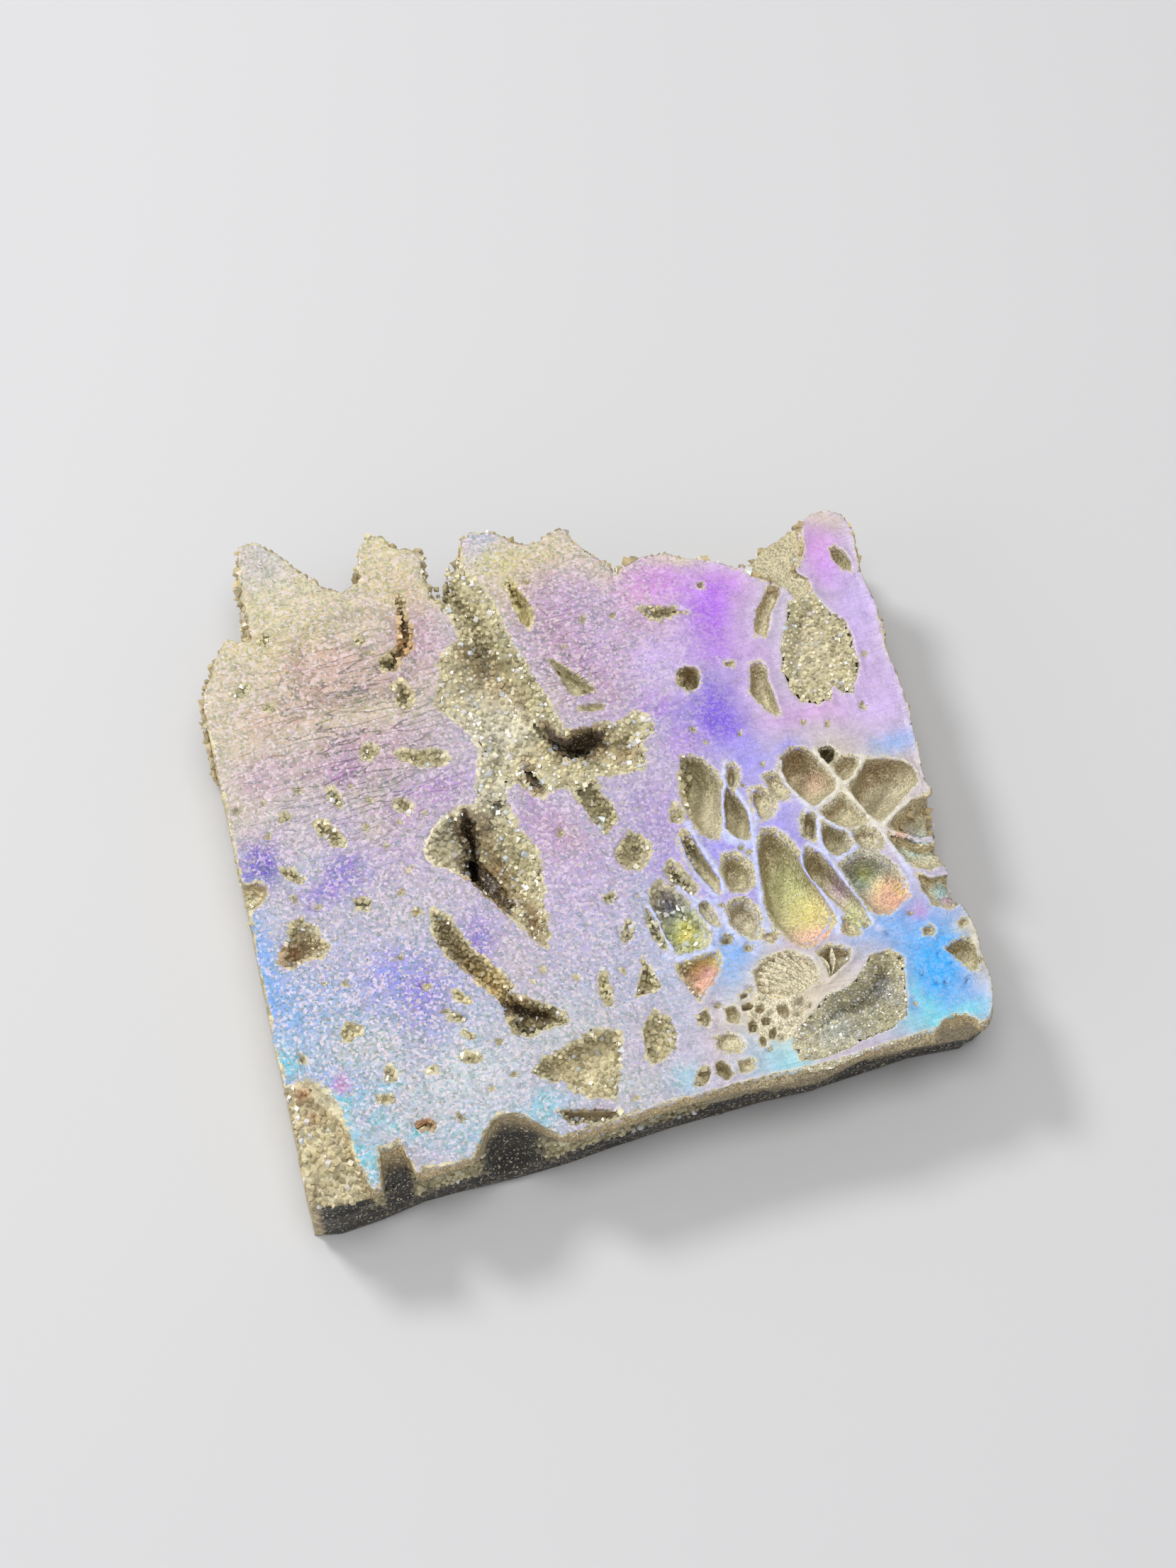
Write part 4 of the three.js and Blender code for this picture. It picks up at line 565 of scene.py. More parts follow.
def top_rims(corners, triangles):
    """The edges around the sawn top, as point pairs: all of them, and the outline alone."""
    normals = unit(face_crosses(corners, triangles))
    on_top = (normals[:, 2] > 0.99) & (corners[triangles][:, :, 2].min(axis=1) > THICKNESS - 0.01)
    edges, of_triangle = edges_of(triangles)
    uses = np.bincount(of_triangle[on_top].ravel(), minlength=len(edges))
    rim = edges[uses == 1]
    following = {}
    for a, b in rim:
        following.setdefault(a, []).append(b)
        following.setdefault(b, []).append(a)
    loops = []
    left = set(following)
    while left:
        loop = [left.pop()]
        while True:
            ahead = [n for n in following[loop[-1]] if n in left]
            if not ahead:
                break
            loop.append(ahead[0])
            left.discard(ahead[0])
        loops.append(loop)
    outline = max(loops, key=lambda l: np.ptp(corners[l][:, 0]) * np.ptp(corners[l][:, 1]))
    return corners[rim], bridged(corners[outline][:, :2])


def bridged(outline):
    """The outline carried straight across the mouth of the hollow that opens at the back."""
    steps = np.linalg.norm(outline - np.roll(outline, -1, axis=0), axis=1)
    along = np.concatenate([[0], np.cumsum(steps)])
    whole = along[-1]
    best = (0, 0, 0)
    for i in range(len(outline)):
        for j in range(i + 2, len(outline)):
            if np.linalg.norm(outline[i] - outline[j]) > MOUTH_WIDTH:
                continue
            way = along[j] - along[i]
            left_out = min(way, whole - way)
            if left_out > best[0]:
                best = (left_out, i, j)
    _, i, j = best
    if along[j] - along[i] < whole / 2:
        return np.vstack([outline[: i + 1], outline[j:]])
    return outline[i: j + 1]


def is_inside(outline, points):
    """Whether points lie inside a closed outline, seen from above."""
    x, y = points[:, 0], points[:, 1]
    inside = np.zeros(len(points), dtype=bool)
    for (x0, y0), (x1, y1) in zip(outline, np.roll(outline, -1, axis=0)):
        if y0 == y1:
            continue
        crosses = (y0 > y) != (y1 > y)
        inside ^= crosses & (x < (x1 - x0) * (y - y0) / (y1 - y0) + x0)
    return inside


def sampled(segments, spacing):
    """Points along segments, no further apart than the spacing."""
    points = []
    for a, b in segments:
        steps = max(1, int(np.ceil(np.linalg.norm(b - a) / spacing)))
        points.append(a + (b - a) * (np.arange(steps)[:, None] / steps))
    return np.vstack(points)


class Raster:
    """Numbers on a square grid over the slab, read back at any place."""

    def __init__(self, low, high, step, numbers_at):
        self.low = np.array(low[:2]) - 2 * step
        self.step = step
        self.shape = tuple(np.ceil((np.array(high[:2]) - self.low) / step).astype(int) + 3)
        x, y = np.meshgrid(*[np.arange(n) for n in self.shape], indexing="ij")
        places = np.c_[x.ravel(), y.ravel()] * step + self.low
        self.numbers = numbers_at(places).reshape(self.shape)

    def at(self, points):
        cell = np.round((points[:, :2] - self.low) / self.step).astype(int)
        x = np.clip(cell[:, 0], 0, self.shape[0] - 1)
        y = np.clip(cell[:, 1], 0, self.shape[1] - 1)
        return self.numbers[x, y]


class Surface:
    """The stone's fine surface: corners, triangles and what lies at each corner."""

    def __init__(self, node):
        corners, triangles = evened(*arrays_of(node))
        rim_segments, self.outline = top_rims(corners, triangles)
        rims = sampled(rim_segments, RIM_STEP)
        vugs = np.array([np.array(v[:2]) + DATUM for v in TINY_VUGS])
        ridges = [np.array(line) + DATUM for line in RIDGES]
        ridges = sampled([pair for line in ridges for pair in zip(line, line[1:])], RIM_STEP)
        fine = np.vstack([rims[:, :2], vugs, ridges])
        fine_tree = tree_of(level(fine))
        low, high = corners.min(axis=0), corners.max(axis=0)
        nearness = Raster(low, high, RASTER_STEP, lambda p: distances_to(fine_tree, level(p)))
        inner = Raster(low, high, RASTER_STEP, lambda p: is_inside(self.outline, p))

        def wanted_length(points):
            length = np.clip(FINEST_EDGE + EDGE_GROWTH * nearness.at(points), FINEST_EDGE, COARSEST_EDGE)
            length = np.where(points[:, 2] < THICKNESS - 0.5, np.maximum(length, PIT_EDGE), length)
            beside = ~inner.at(points) & (points[:, 2] < THICKNESS - 1.0)
            length = np.where(beside, FLANK_EDGE, length)
            return np.where(points[:, 2] < 0.3, UNDERSIDE_EDGE, length)

        corners, triangles = refined(corners, triangles, wanted_length)
        normals = corner_normals(corners, triangles)
        inside = is_inside(self.outline, corners)
        distance = distances_to(tree_of(rims), corners)
        self.normals = normals
        self.on_top = (corners[:, 2] > THICKNESS - 0.01) & (normals[:, 2] > 0.3)
        self.rim_distance = np.where(self.on_top, distance, -distance)
        edge = np.c_[self.outline, np.full(len(self.outline), THICKNESS)]
        border = sampled(zip(edge, np.roll(edge, -1, axis=0)), 0.5)
        border[:, 2] = 0
        from_edge = distances_to(tree_of(border), corners * (1, 1, 0))
        faces_up = (normals[:, 2] > 0.03) | (from_edge > FLANK_REACH)
        flat_floor = (normals[:, 2] > 0.62) & (corners[:, 2] > 8)
        self.in_pit = ((inside & faces_up) | flat_floor) & ~self.on_top & (corners[:, 2] > 0.4)
        self.is_base = corners[:, 2] < 0.02
        self.flat = corners.copy()
        self.corners = smoothed(corners, triangles, self.is_base, SMOOTHING_ROUNDS)
        crusted = np.vstack([arrays_of(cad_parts[name])[0] for name in SOFT_HOLLOWS])
        away = distances_to(tree_of(crusted * (1, 1, 0)), corners * (1, 1, 0))
        self.soft = ramp(-away, -SOFT_REACH - 1, -0.5)
        crisp = (away > SOFT_REACH) | (corners[:, 2] < THICKNESS - 5)
        self.corners = smoothed(self.corners, triangles, crisp, SOFT_ROUNDS)
        self.triangles = triangles
        self.local = self.flat[:, :2] - DATUM

    @property
    def is_flank(self):
        return ~self.on_top & ~self.in_pit & ~self.is_base


def ramp(values, low, high):
    """0 below low, 1 above high and smooth between."""
    t = np.clip((values - low) / (high - low), 0, 1)
    return t * t * (3 - 2 * t)


def toward(colours, target, share):
    """Colours moved to the target by a share at each place."""
    return colours + share[:, None] * (target - colours)


def spot(local, x, y, reach_x, reach_y):
    """1 in the middle of a soft spot, falling off all around."""
    return np.exp(-((local[:, 0] - x) / reach_x) ** 2 - ((local[:, 1] - y) / reach_y) ** 2)


def boxwork(local):
    """1 over the boxwork, where only thin ridges of coat stand between the cells."""
    return patch_cover(local, 20, -14.5, 17, 13)


def melted(local):
    """How far the coat is smooth and flowed, from 0 at the grainy left to 1 at the right."""
    return ramp(local[:, 0] - 0.25 * local[:, 1], 4, 22)


def roughen(surface):
    """Gives the fine surface its crystal steps, chips and grain, in place."""
    points = surface.flat
    normals = corner_normals(surface.corners, surface.triangles)
    smooth_side = melted(surface.local)
    shift = np.zeros(len(points))
    wander = waver(points, 0.8, 1)

    pit = surface.in_pit.astype(float) * ramp(-surface.rim_distance, 0.0, 0.6)
    cell = facets(points, 1.0, 2) - 0.5
    shift += pit * (PIT_STEPS[0] - PIT_STEPS[1] * smooth_side) * cell

    flank = surface.is_flank.astype(float) * ramp(points[:, 2], 0.2, 1.2)
    sawn = ramp(-surface.local[:, 0], *SAWN_LEFT) * (surface.local[:, 1] < 24)
    front = ramp(-surface.local[:, 1], *FRONT_SIDE)
    coarse = fractal(points, 4.0, 3, 3)
    chips = FLANK_CHIPS * coarse + FLANK_CHIPS * (facets(points, 1.5, 4) - 0.6)
    shift += flank * (1 - sawn) * chips * (1 - 0.75 * front)
    ledges = np.sin(0.42 * surface.local[:, 0] - 2.1 * points[:, 2] + 1.5 * coarse)
    shift += flank * front * FRONT_LEDGES * ramp(ledges, -0.2, 0.6) * ramp(-points[:, 2], -13.5, -12)
    shift += flank * sawn * SAW_MARKS * coarse

    near_rim = np.exp(-(surface.rim_distance / 0.55) ** 2) * ~surface.is_base
    corners = surface.corners + normals * shift[:, None]
    ragged = (RAGGED_RIM[0] - RAGGED_RIM[1] * smooth_side) * near_rim
    corners += wander * ragged[:, None]
    top = surface.on_top.astype(float)
    corners[:, 2] += top * (TOP_GRAIN * fractal(points, 7.0, 2, 5) - 0.06 + TOP_GRAIN * wander[:, 2])
    corners[:, 2] -= top * smooth_side * FLOWED_DROP * ramp(surface.rim_distance, 0.2, 0.9)
    below_top = surface.in_pit * (1 - ramp(-surface.rim_distance, 0, 1.5))
    beside_rim = np.where(surface.on_top, 1 - ramp(surface.rim_distance, 0, 0.5), below_top)
    corners[:, 2] -= SHOULDER_DROP * (1 - ridged(surface.local)) * boxwork(surface.local) * beside_rim
    for x, y, radius, depth in TINY_VUGS:
        away = np.hypot(surface.local[:, 0] - x, surface.local[:, 1] - y)
        away += 0.25 * radius * wander[:, 0]
        corners[:, 2] -= top * depth * ramp(-away / radius, -1.15, -0.35)
    surface.corners = within_box(corners)
    surface.corners[surface.is_base, 2] = CAD_BOX[0][2] / MM


def patched(local, patches, ground, warp=1.4):
    """Colours of places on the slab: soft patches, with wavering edges, laid over a ground."""
    wavering = waver(level(local), 5.0, 7) * warp + waver(level(local), 1.6, 8) * warp * 0.35
    wavering = local + wavering[:, :2]
    colours = np.tile(ground, (len(local), 1))
    for *place, patch, strength in patches:
        colours = toward(colours, patch, strength * spot(wavering, *place))
    return colours


def cleft_reach(seen, lines=CLEFTS):
    """How far places lie from the middle of the nearest line, in half widths of that line."""
    nearest = np.full(len(seen), 99.0)
    for line in lines:
        for start, end in zip(np.array(line), np.array(line[1:])):
            along = (end - start)[:2]
            t = np.clip((seen - start[:2]) @ along / (along @ along), 0, 1)
            away = np.linalg.norm(seen - start[:2] - t[:, None] * along, axis=1)
            nearest = np.minimum(nearest, away / (start[2] + (end[2] - start[2]) * t))
    return nearest


def ridged(local):
    """1 along the tops of the ridges, falling off beside them."""
    lines = [[(x, y, RIDGE_HALF_WIDTH) for x, y in line] for line in RIDGES]
    return ramp(-cleft_reach(local + 0.14 * waver(level(local), 0.9, 17)[:, :2], lines), -1.7, -0.7)


def seen_from_front(places):
    """Where places in the frame are seen on the slab in the photograph."""
    return places[:, :2] - DATUM - (THICKNESS - places[:, 2])[:, None] * SEEN_SHIFT


def bare_tints(places):
    """Colours of bare stone on the slab: browner round the clefts, painted shade in them and deep down."""
    seen = seen_from_front(places)
    tint = patched(seen, BARE_PATCHES, KHAKI, 0.5)
    reach = cleft_reach(seen + 0.3 * waver(places, 0.9, 6)[:, :2])
    tint = toward(tint, UMBER, 0.6 * ramp(-reach, -2.8, -1.1))
    # painted shade: dark brown in the clefts
    tint = toward(tint, DARK_BROWN, 0.93 * ramp(-reach, -1.25, -0.85))
    # painted shade: dark brown deep under the top, apart from the brown vug at the back left
    browned = patch_cover(places[:, :2] - DATUM, -14.5, 24.6, 2.6, 4.6)
    return toward(tint, DARK_BROWN, 0.9 * ramp(THICKNESS - places[:, 2], 9, 13) * (1 - browned))


def under_grains(colour, grainy):
    """The tint that gives the wanted mean colour once painted white glints and painted gap shade are added.
    """
    white, gap = WHITE_GLINT_SHARE * grainy[:, None], GAP_SHARE * grainy[:, None]
    own_part = (1 - gap) * (1 - white) + gap * GAP_SHADE
    return np.clip((colour - (1 - gap) * white * WHITE) / own_part, 0.012, 1)


def coat_colours(surface, flowed, grainy, ridge, shoulder):
    """The tint that the coat has at every corner under its grains."""
    local = surface.local
    coat = patched(local, COAT_PATCHES, PALE_LILAC)
    grey = coat.mean(axis=1, keepdims=True)
    coat = np.clip(grey + COAT_SATURATION * (coat - grey), 0.01, 1)
    coat *= (COAT_TONES[0] + (COAT_TONES[1] - COAT_TONES[0]) * flowed)[:, None]
    pale_rim = np.exp(-((surface.rim_distance - shoulder) / PALE_RIM) ** 2) * (0.1 + 0.6 * flowed)
    coat = toward(coat, RIM_CREAM, pale_rim)
    crest = toward(RIDGE_BLUE, RIM_CREAM, ramp(local[:, 0] + local[:, 1], 12, 20))
    return under_grains(toward(coat, crest, 0.8 * ridge), grainy)


def stone_colours(surface, mottled, front, flowed):
    """The bare stone's tint at every corner, in the hollows and on the banded flanks."""
    height, flank = surface.flat[:, 2], surface.is_flank
    bare = bare_tints(surface.flat) * (1 + (0.2 - 0.1 * flowed) * mottled - 0.1 * flowed)[:, None]
    # painted shade: cell walls that face away from the light turn umber
    shaded_wall = surface.in_pit * flowed * ramp(surface.normals @ WALL_IN_SHADE, 0.05, 0.6)
    bare = toward(bare, UMBER, 0.4 * shaded_wall)
    bands = np.sin(0.45 * surface.local[:, 0] - 1.3 * height + 1.3 * mottled)
    stone = toward(TAN, UMBER, 0.3 * ramp(bands, -1, 1))
    bare[flank] = (stone * (1 + 0.25 * mottled[:, None]))[flank]
    # the front is tan near the top and dark lower down: painted shade, with the stone's own bands in it
    shade = ramp(THICKNESS - height + 0.5 * mottled, *FRONT_SHADE)[:, None]
    dark = SLATE * (0.7 + 0.9 * ramp(bands, -0.2, 0.9))[:, None]
    return toward(bare, EDGE_TAN * (1 - shade) + dark * shade, front)


def coat_cover(surface, ridge, shoulder):
    """How much of the stone the coat covers at every corner, apart from the tiny vugs."""
    local = surface.local
    druse_side = ramp(-local[:, 0], -6, 4)
    worn = surface.rim_distance - shoulder + druse_side * (0.35 * fractal(surface.flat, 1.6, 3, 12) - 0.1)
    fade = 0.25 + 0.15 * druse_side + 0.8 * surface.soft
    over_rim = (1 - 0.6 * druse_side) * 0.6 * ramp(surface.rim_distance, -0.75, -0.15)
    cover = np.maximum(np.where(surface.on_top, ramp(worn, -0.1, fade), over_rim), 0.95 * ridge)
    cover = np.where(surface.is_flank, 0.4 * ramp(surface.flat[:, 2] - THICKNESS, -1.0, -0.1), cover)
    for place in WORN_CORNERS:
        cover *= 1 - patch_cover(local, *place)
    return cover


def paint(surface):
    """Works out the colours and the cover of the coat at every corner, and how grainy it is."""
    local = surface.local
    mottled = fractal(surface.flat, 2.4, 3, 9)
    front = surface.is_flank * ramp(-local[:, 1] + 1.5 * mottled, *FRONT_COLOUR) * (local[:, 0] > -40)
    flowed = melted(local)
    grainy = (1 - 0.76 * flowed) * (0.72 + 0.28 * spot(local, -29, -23, 13, 13))
    grainy += front * (0.25 - grainy)
    ridge = ridged(local) * surface.on_top
    shoulder = SHOULDER * boxwork(local)
    coat = coat_colours(surface, flowed, grainy, ridge, shoulder)
    bare = stone_colours(surface, mottled, front, flowed)
    cover = coat_cover(surface, ridge, shoulder)
    for x, y, radius, _ in TINY_VUGS:
        away = np.hypot(local[:, 0] - x, local[:, 1] - y) / radius
        shade = 1 - (VUG_SHADE * ramp(-away, -1, -0.3))[:, None]
        if radius > PINHOLE:
            cover *= ramp(away, 0.6, 1.2)
        coat *= shade
        bare *= shade
    return coat, np.clip(bare, 0.002, 1), np.clip(cover, 0, 1), grainy


def patch_cover(local, x, y, reach_x, reach_y):
    """1 inside an oval patch, falling off at its edge."""
    away = np.hypot((local[:, 0] - x) / reach_x, (local[:, 1] - y) / reach_y)
    return ramp(-away, -1.15, -0.85)


# ---- objects


def mesh_object(name, corners, triangles, material, smooth=True):
    mesh = bpy.data.meshes.new(name)
    mesh.vertices.add(len(corners))
    mesh.vertices.foreach_set("co", (corners * MM).ravel())
    mesh.loops.add(triangles.size)
    mesh.loops.foreach_set("vertex_index", triangles.ravel())
    mesh.polygons.add(len(triangles))
    mesh.polygons.foreach_set("loop_start", np.arange(0, triangles.size, 3))
    mesh.polygons.foreach_set("use_smooth", np.full(len(triangles), smooth))
    mesh.update(calc_edges=True)
    mesh.validate()
    mesh.materials.append(material)
    thing = bpy.data.objects.new(name, mesh)
    bpy.context.scene.collection.objects.link(thing)
    return thing


def colour_attribute(thing, name, colours):
    layer = thing.data.color_attributes.new(name, "FLOAT_COLOR", "POINT")
    layer.data.foreach_set("color", np.c_[colours, np.ones(len(colours))].ravel())


def number_attribute(thing, name, values):
    layer = thing.data.attributes.new(name, "FLOAT", "POINT")
    layer.data.foreach_set("value", values)


# ---- materials


class Nodes:
    """A short way to write a material's nodes."""

    def __init__(self, name):
        self.material = bpy.data.materials.new(name)
        self.material.use_nodes = True
        self.tree = self.material.node_tree
        self.shader = self.tree.nodes["Principled BSDF"]

    def add(self, kind, settings=None, **inputs):
        """A new node. Its inputs are given by name, or by number as _0, _1 and so on."""
        node = self.tree.nodes.new("ShaderNode" + kind)
        for key, value in (settings or {}).items():
            setattr(node, key, value)
        for key, value in inputs.items():
            self.plug(node.inputs[int(key[1:]) if key[0] == "_" else key.replace("_", " ")], value)
        return node

    def plug(self, socket, value):
        if isinstance(value, bpy.types.NodeSocket):
            self.tree.links.new(value, socket)
        else:
            socket.default_value = value

    def surface(self, **inputs):
        """Sets the shader's own inputs, or links them."""
        for key, value in inputs.items():
            self.plug(self.shader.inputs[key.replace("_", " ")], value)

    def math(self, operation, a, b=0.0):
        return self.add("Math", {"operation": operation}, _0=a, _1=b).outputs[0]

    def plus(self, a, b):
        return self.math("ADD", a, b)

    def minus(self, a, b):
        return self.math("SUBTRACT", a, b)

    def times(self, product, *factors):
        for factor in factors:
            product = self.math("MULTIPLY", product, factor)
        return product

    def vectors(self, operation, a, **inputs):
        return self.add("VectorMath", {"operation": operation}, _0=a, **inputs).outputs[0]

    def mix(self, factor, a, b, kind="RGBA", blend="MIX"):
        """From a to b, which are of the kind FLOAT, VECTOR or RGBA."""
        rank = ("FLOAT", "VECTOR", "RGBA").index(kind)
        node = self.add("Mix", {"data_type": kind, "blend_type": blend}, _0=factor)
        self.plug(node.inputs[2 * rank + 2], a)
        self.plug(node.inputs[2 * rank + 3], b)
        return node.outputs[rank]

    def toned(self, colour, tone):
        """A colour made darker or lighter by a number."""
        grey = self.add("CombineColor", Red=tone, Green=tone, Blue=tone).outputs[0]
        return self.mix(1.0, colour, grey, blend="MULTIPLY")

    def attribute(self, name, output):
        return self.add("Attribute", {"attribute_name": name}).outputs[output]

    def place(self, size):
        """The surface's own position, scaled so that one unit is size millimetres."""
        position = self.add("TexCoord").outputs["Object"]
        return self.vectors("SCALE", position, Scale=1 / (size * MM))

    def stretched(self, stretch, turn):
        """The surface's own position in millimetres, turned by degrees and stretched."""
        return self.add("Mapping", Vector=self.place(1.0), Rotation=(0, 0, math.radians(turn)),
                        Scale=stretch).outputs[0]

    def noise(self, place, detail, scale=1.0, **inputs):
        return self.add("TexNoise", Vector=place, Scale=scale, Detail=detail, **inputs).outputs[0]

    def cells(self, size):
        return self.add("TexVoronoi", {"feature": "F1"}, Vector=self.place(size), Scale=1.0)

    def parts(self, cells):
        """Three numbers that differ from cell to cell."""
        return self.add("SeparateColor", Color=cells.outputs["Color"]).outputs

    def step(self, value, low, high, out_low=0.0, out_high=1.0):
        node = self.add("MapRange", {"interpolation_type": "SMOOTHSTEP"}, Value=value, From_Min=low,
                        From_Max=high, To_Min=out_low, To_Max=out_high)
        return node.outputs[0]

    def bump(self, strength, depth, height, **inputs):
        """A normal tilted by the height, where 1 stands for a depth in millimetres."""
        return self.add("Bump", Strength=strength, Distance=depth * MM, Height=height, **inputs).outputs[0]


def opaque(colour):
    return (*[float(c) for c in colour], 1.0)


def facet_normal(n, cells, strength):
    """The surface's normal, tilted a different way in each cell."""
    tilt = n.vectors("SUBTRACT", cells.outputs["Color"], _1=(0.5, 0.5, 0.5))
    normal = n.add("NewGeometry").outputs["Normal"]
    return n.vectors("NORMALIZE", n.vectors("ADD", normal, _1=n.vectors("SCALE", tilt, Scale=strength)))


def wrinkle_nodes(n):
    """The streaks and the sharp creases of the coat, which fan out in one place."""
    fanned = n.attribute("fanned", "Fac")
    run = n.mix(fanned, *(n.stretched(WRINKLE_STRETCH, turn) for turn in WRINKLE_TURNS), kind="VECTOR")
    streak = n.noise(run, 5.0, Roughness=0.6, Distortion=0.8)
    folded = n.noise(run, 1.0, 0.9, Roughness=0.4, Distortion=0.3)
    return streak, n.step(n.math("ABSOLUTE", n.minus(folded, 0.5)), 0.004, 0.036, 0.36, 1.0)


def coat_nodes(n, cloud, streak, crease, wrinkled, grainy, grain, speck, fine_speck):
    """Clouds and wrinkles in the coat's tint, then painted white glints and the painted shade of the gaps
    between its crystals, which fade on the flowed side."""
    # the creases darken the tint along the folds: painted shade
    streak_tone = n.times(n.step(streak, 0.38, 0.62, 0.84, 1.1), crease)
    streak_part = n.plus(n.times(n.minus(streak_tone, 1.0), wrinkled), 1.0)
    tone = n.times(n.step(cloud, 0.3, 0.7, 0.86, 1.1), streak_part)
    tinted = n.toned(n.attribute("coat_tint", "Color"), tone)
    shaded = n.mix(1.0, tinted, opaque(GAP_SHADE), blend="MULTIPLY")
    white = n.mix(n.times(n.step(speck[0], 0.5, 0.8), 0.7, grainy), tinted, opaque(WHITE))
    pale = n.mix(n.times(n.step(fine_speck[0], 0.55, 1.0), 0.1, grainy), white, opaque(WHITE))
    gaps = n.mix(n.times(n.step(speck[1], 0.45, 0.95), 0.73, grainy), pale, shaded)
    return n.mix(n.times(grainy, 0.13), gaps, grain.outputs["Color"])


def bare_nodes(n, coarse, fine_speck):
    """Bare stone: crystal faces on the grainy side, a fine painted sparkle on the flowed side."""
    big_shade = n.step(n.parts(n.cells(BARE_GRAIN))[0], 0.0, 1.0, 0.7, 1.22)
    fine_shade = n.step(fine_speck[1], 0.0, 1.0, 0.62, 1.3)
    shade = n.mix(coarse, fine_shade, big_shade, kind="FLOAT")
    faces = n.toned(n.attribute("bare_tint", "Color"), shade)
    # painted glints: ivory flecks on a few fine grains, on both sides
    return n.mix(n.times(n.step(fine_speck[2], 0.84, 0.95), 0.5), faces, opaque(IVORY))


def relief_nodes(n, cloud, streak, crease, wrinkled, fine_grain):
    """The height of the pores, the fine grain, the folds and the clouds."""
    pore = n.step(n.cells(PORE).outputs["Distance"], 0.05, 0.16)
    relief = n.plus(n.times(pore, 0.5), n.times(fine_grain.outputs["Distance"], 0.5))
    folds = n.times(n.plus(streak, crease), wrinkled, 6.0)
    return n.plus(n.plus(relief, folds), n.times(cloud, 1.5))


def stone_material():
    """Coat over bare stone, told apart by the surface's attributes."""
    n = Nodes("coated_stone")
    cover, grainy, wrinkled = (n.attribute(name, "Fac") for name in ("cover", "grainy", "wrinkled"))
    grain, fine_grain = n.cells(GRAIN), n.cells(FINE_GRAIN)
    speck, fine_speck = n.parts(grain), n.parts(fine_grain)
    cloud = n.noise(n.place(CLOUD), 6.0, Roughness=0.7)
    streak, crease = wrinkle_nodes(n)
    coarse = n.step(grainy, 0.15, 0.6)
    coat = coat_nodes(n, cloud, streak, crease, wrinkled, grainy, grain, speck, fine_speck)

    # the coat's edge breaks up grain by grain
    edge = n.step(n.plus(cover, n.times(n.minus(speck[2], 0.5), 0.55)), 0.34, 0.62)
    rough = n.noise(n.place(0.5), 2.0)
    bare_rough, coat_rough = n.step(rough, 0.3, 0.7, 0.35, 0.7), n.step(rough, 0.3, 0.7, 0.3, 0.5)

    # facets: fine on the coat and on the flowed stone, coarse on the bare stone
    coat_normal = facet_normal(n, grain, n.plus(n.times(grainy, 0.6), 0.1))
    coarse_normal = facet_normal(n, n.cells(CRYSTAL_FACE), 0.8)
    bare_normal = n.mix(coarse, facet_normal(n, fine_grain, 0.5), coarse_normal, kind="VECTOR")
    normal = n.mix(edge, bare_normal, coat_normal, kind="VECTOR")
    height = relief_nodes(n, cloud, streak, crease, wrinkled, fine_grain)
    n.surface(
        Base_Color=n.mix(edge, bare_nodes(n, coarse, fine_speck), coat),
        Roughness=n.mix(edge, bare_rough, coat_rough, kind="FLOAT"),
        IOR=SPHALERITE_IOR,
        Normal=n.bump(0.5, 0.12, height, Normal=normal),
    )
    return n.material


def druse_material():
    """Glassy crystals, each in its own shade."""
    n = Nodes("druse")
    cloud = n.noise(n.place(1.2), 3.0)
    n.surface(
        Base_Color=n.toned(n.attribute("bare_tint", "Color"), n.step(cloud, 0.35, 0.7, 0.8, 1.15)),
        Roughness=n.step(cloud, 0.3, 0.7, 0.12, 0.3),
        IOR=SPHALERITE_IOR,
        Specular_IOR_Level=0.7,
        Subsurface_Weight=0.35,
        Subsurface_Scale=0.5 * MM,
        Subsurface_Radius=(1.0, 0.9, 0.6),
        Normal=n.bump(0.25, 0.05, n.noise(n.place(0.3), 2.0)),
    )
    return n.material


# ---- crystals


def rhombohedron():
    """A crystal with a three-faced tip, standing on its corner: corners and triangles."""
    axes = [np.array([math.cos(a), math.sin(a), 0.62]) for a in np.radians([0, 120, 240])]
    ways = [(i, j, k) for i in (0, 1) for j in (0, 1) for k in (0, 1)]
    corners = np.array([i * axes[0] + j * axes[1] + k * axes[2] for i, j, k in ways])
    corners -= corners.mean(axis=0)
    quads = [(0, 1, 3, 2), (4, 6, 7, 5), (0, 4, 5, 1), (2, 3, 7, 6), (0, 2, 6, 4), (1, 5, 7, 3)]
    return finished_crystal(corners, quads)


def point_crystal():
    """A six-sided crystal with a steep point above and below."""
    ring = [(math.cos(a), math.sin(a), 0.0) for a in np.radians(np.arange(0, 360, 60))]
    corners = np.array([*ring, (0, 0, 1.35), (0, 0, -1.0)])
    sides = [(i, (i + 1) % 6, 6) for i in range(6)] + [((i + 1) % 6, i, 7) for i in range(6)]
    return finished_crystal(corners, sides)


def finished_crystal(corners, faces):
    """Triangles of a convex crystal, all facing out, and its corners scaled to a width of one."""
    corners = corners / np.abs(corners[:, :2]).max() / 2
    triangles = []
    for face in faces:
        for i in range(1, len(face) - 1):
            a, b, c = (corners[face[k]] for k in (0, i, i + 1))
            out = np.dot(np.cross(b - a, c - a), (a + b + c) / 3)
            second, third = (face[i], face[i + 1]) if out > 0 else (face[i + 1], face[i])
            triangles.append((face[0], second, third))
    return corners, np.array(triangles)


CRYSTAL_FORMS = [rhombohedron(), point_crystal()]
POINT_SHARE = 0.35  # how many of the crystals are pointed ones
CRYSTAL_LEAN = 0.45
CRYSTAL_LIFT = 0.22 - 0.12  # how far a crystal's middle stands over its seat, in its own widths


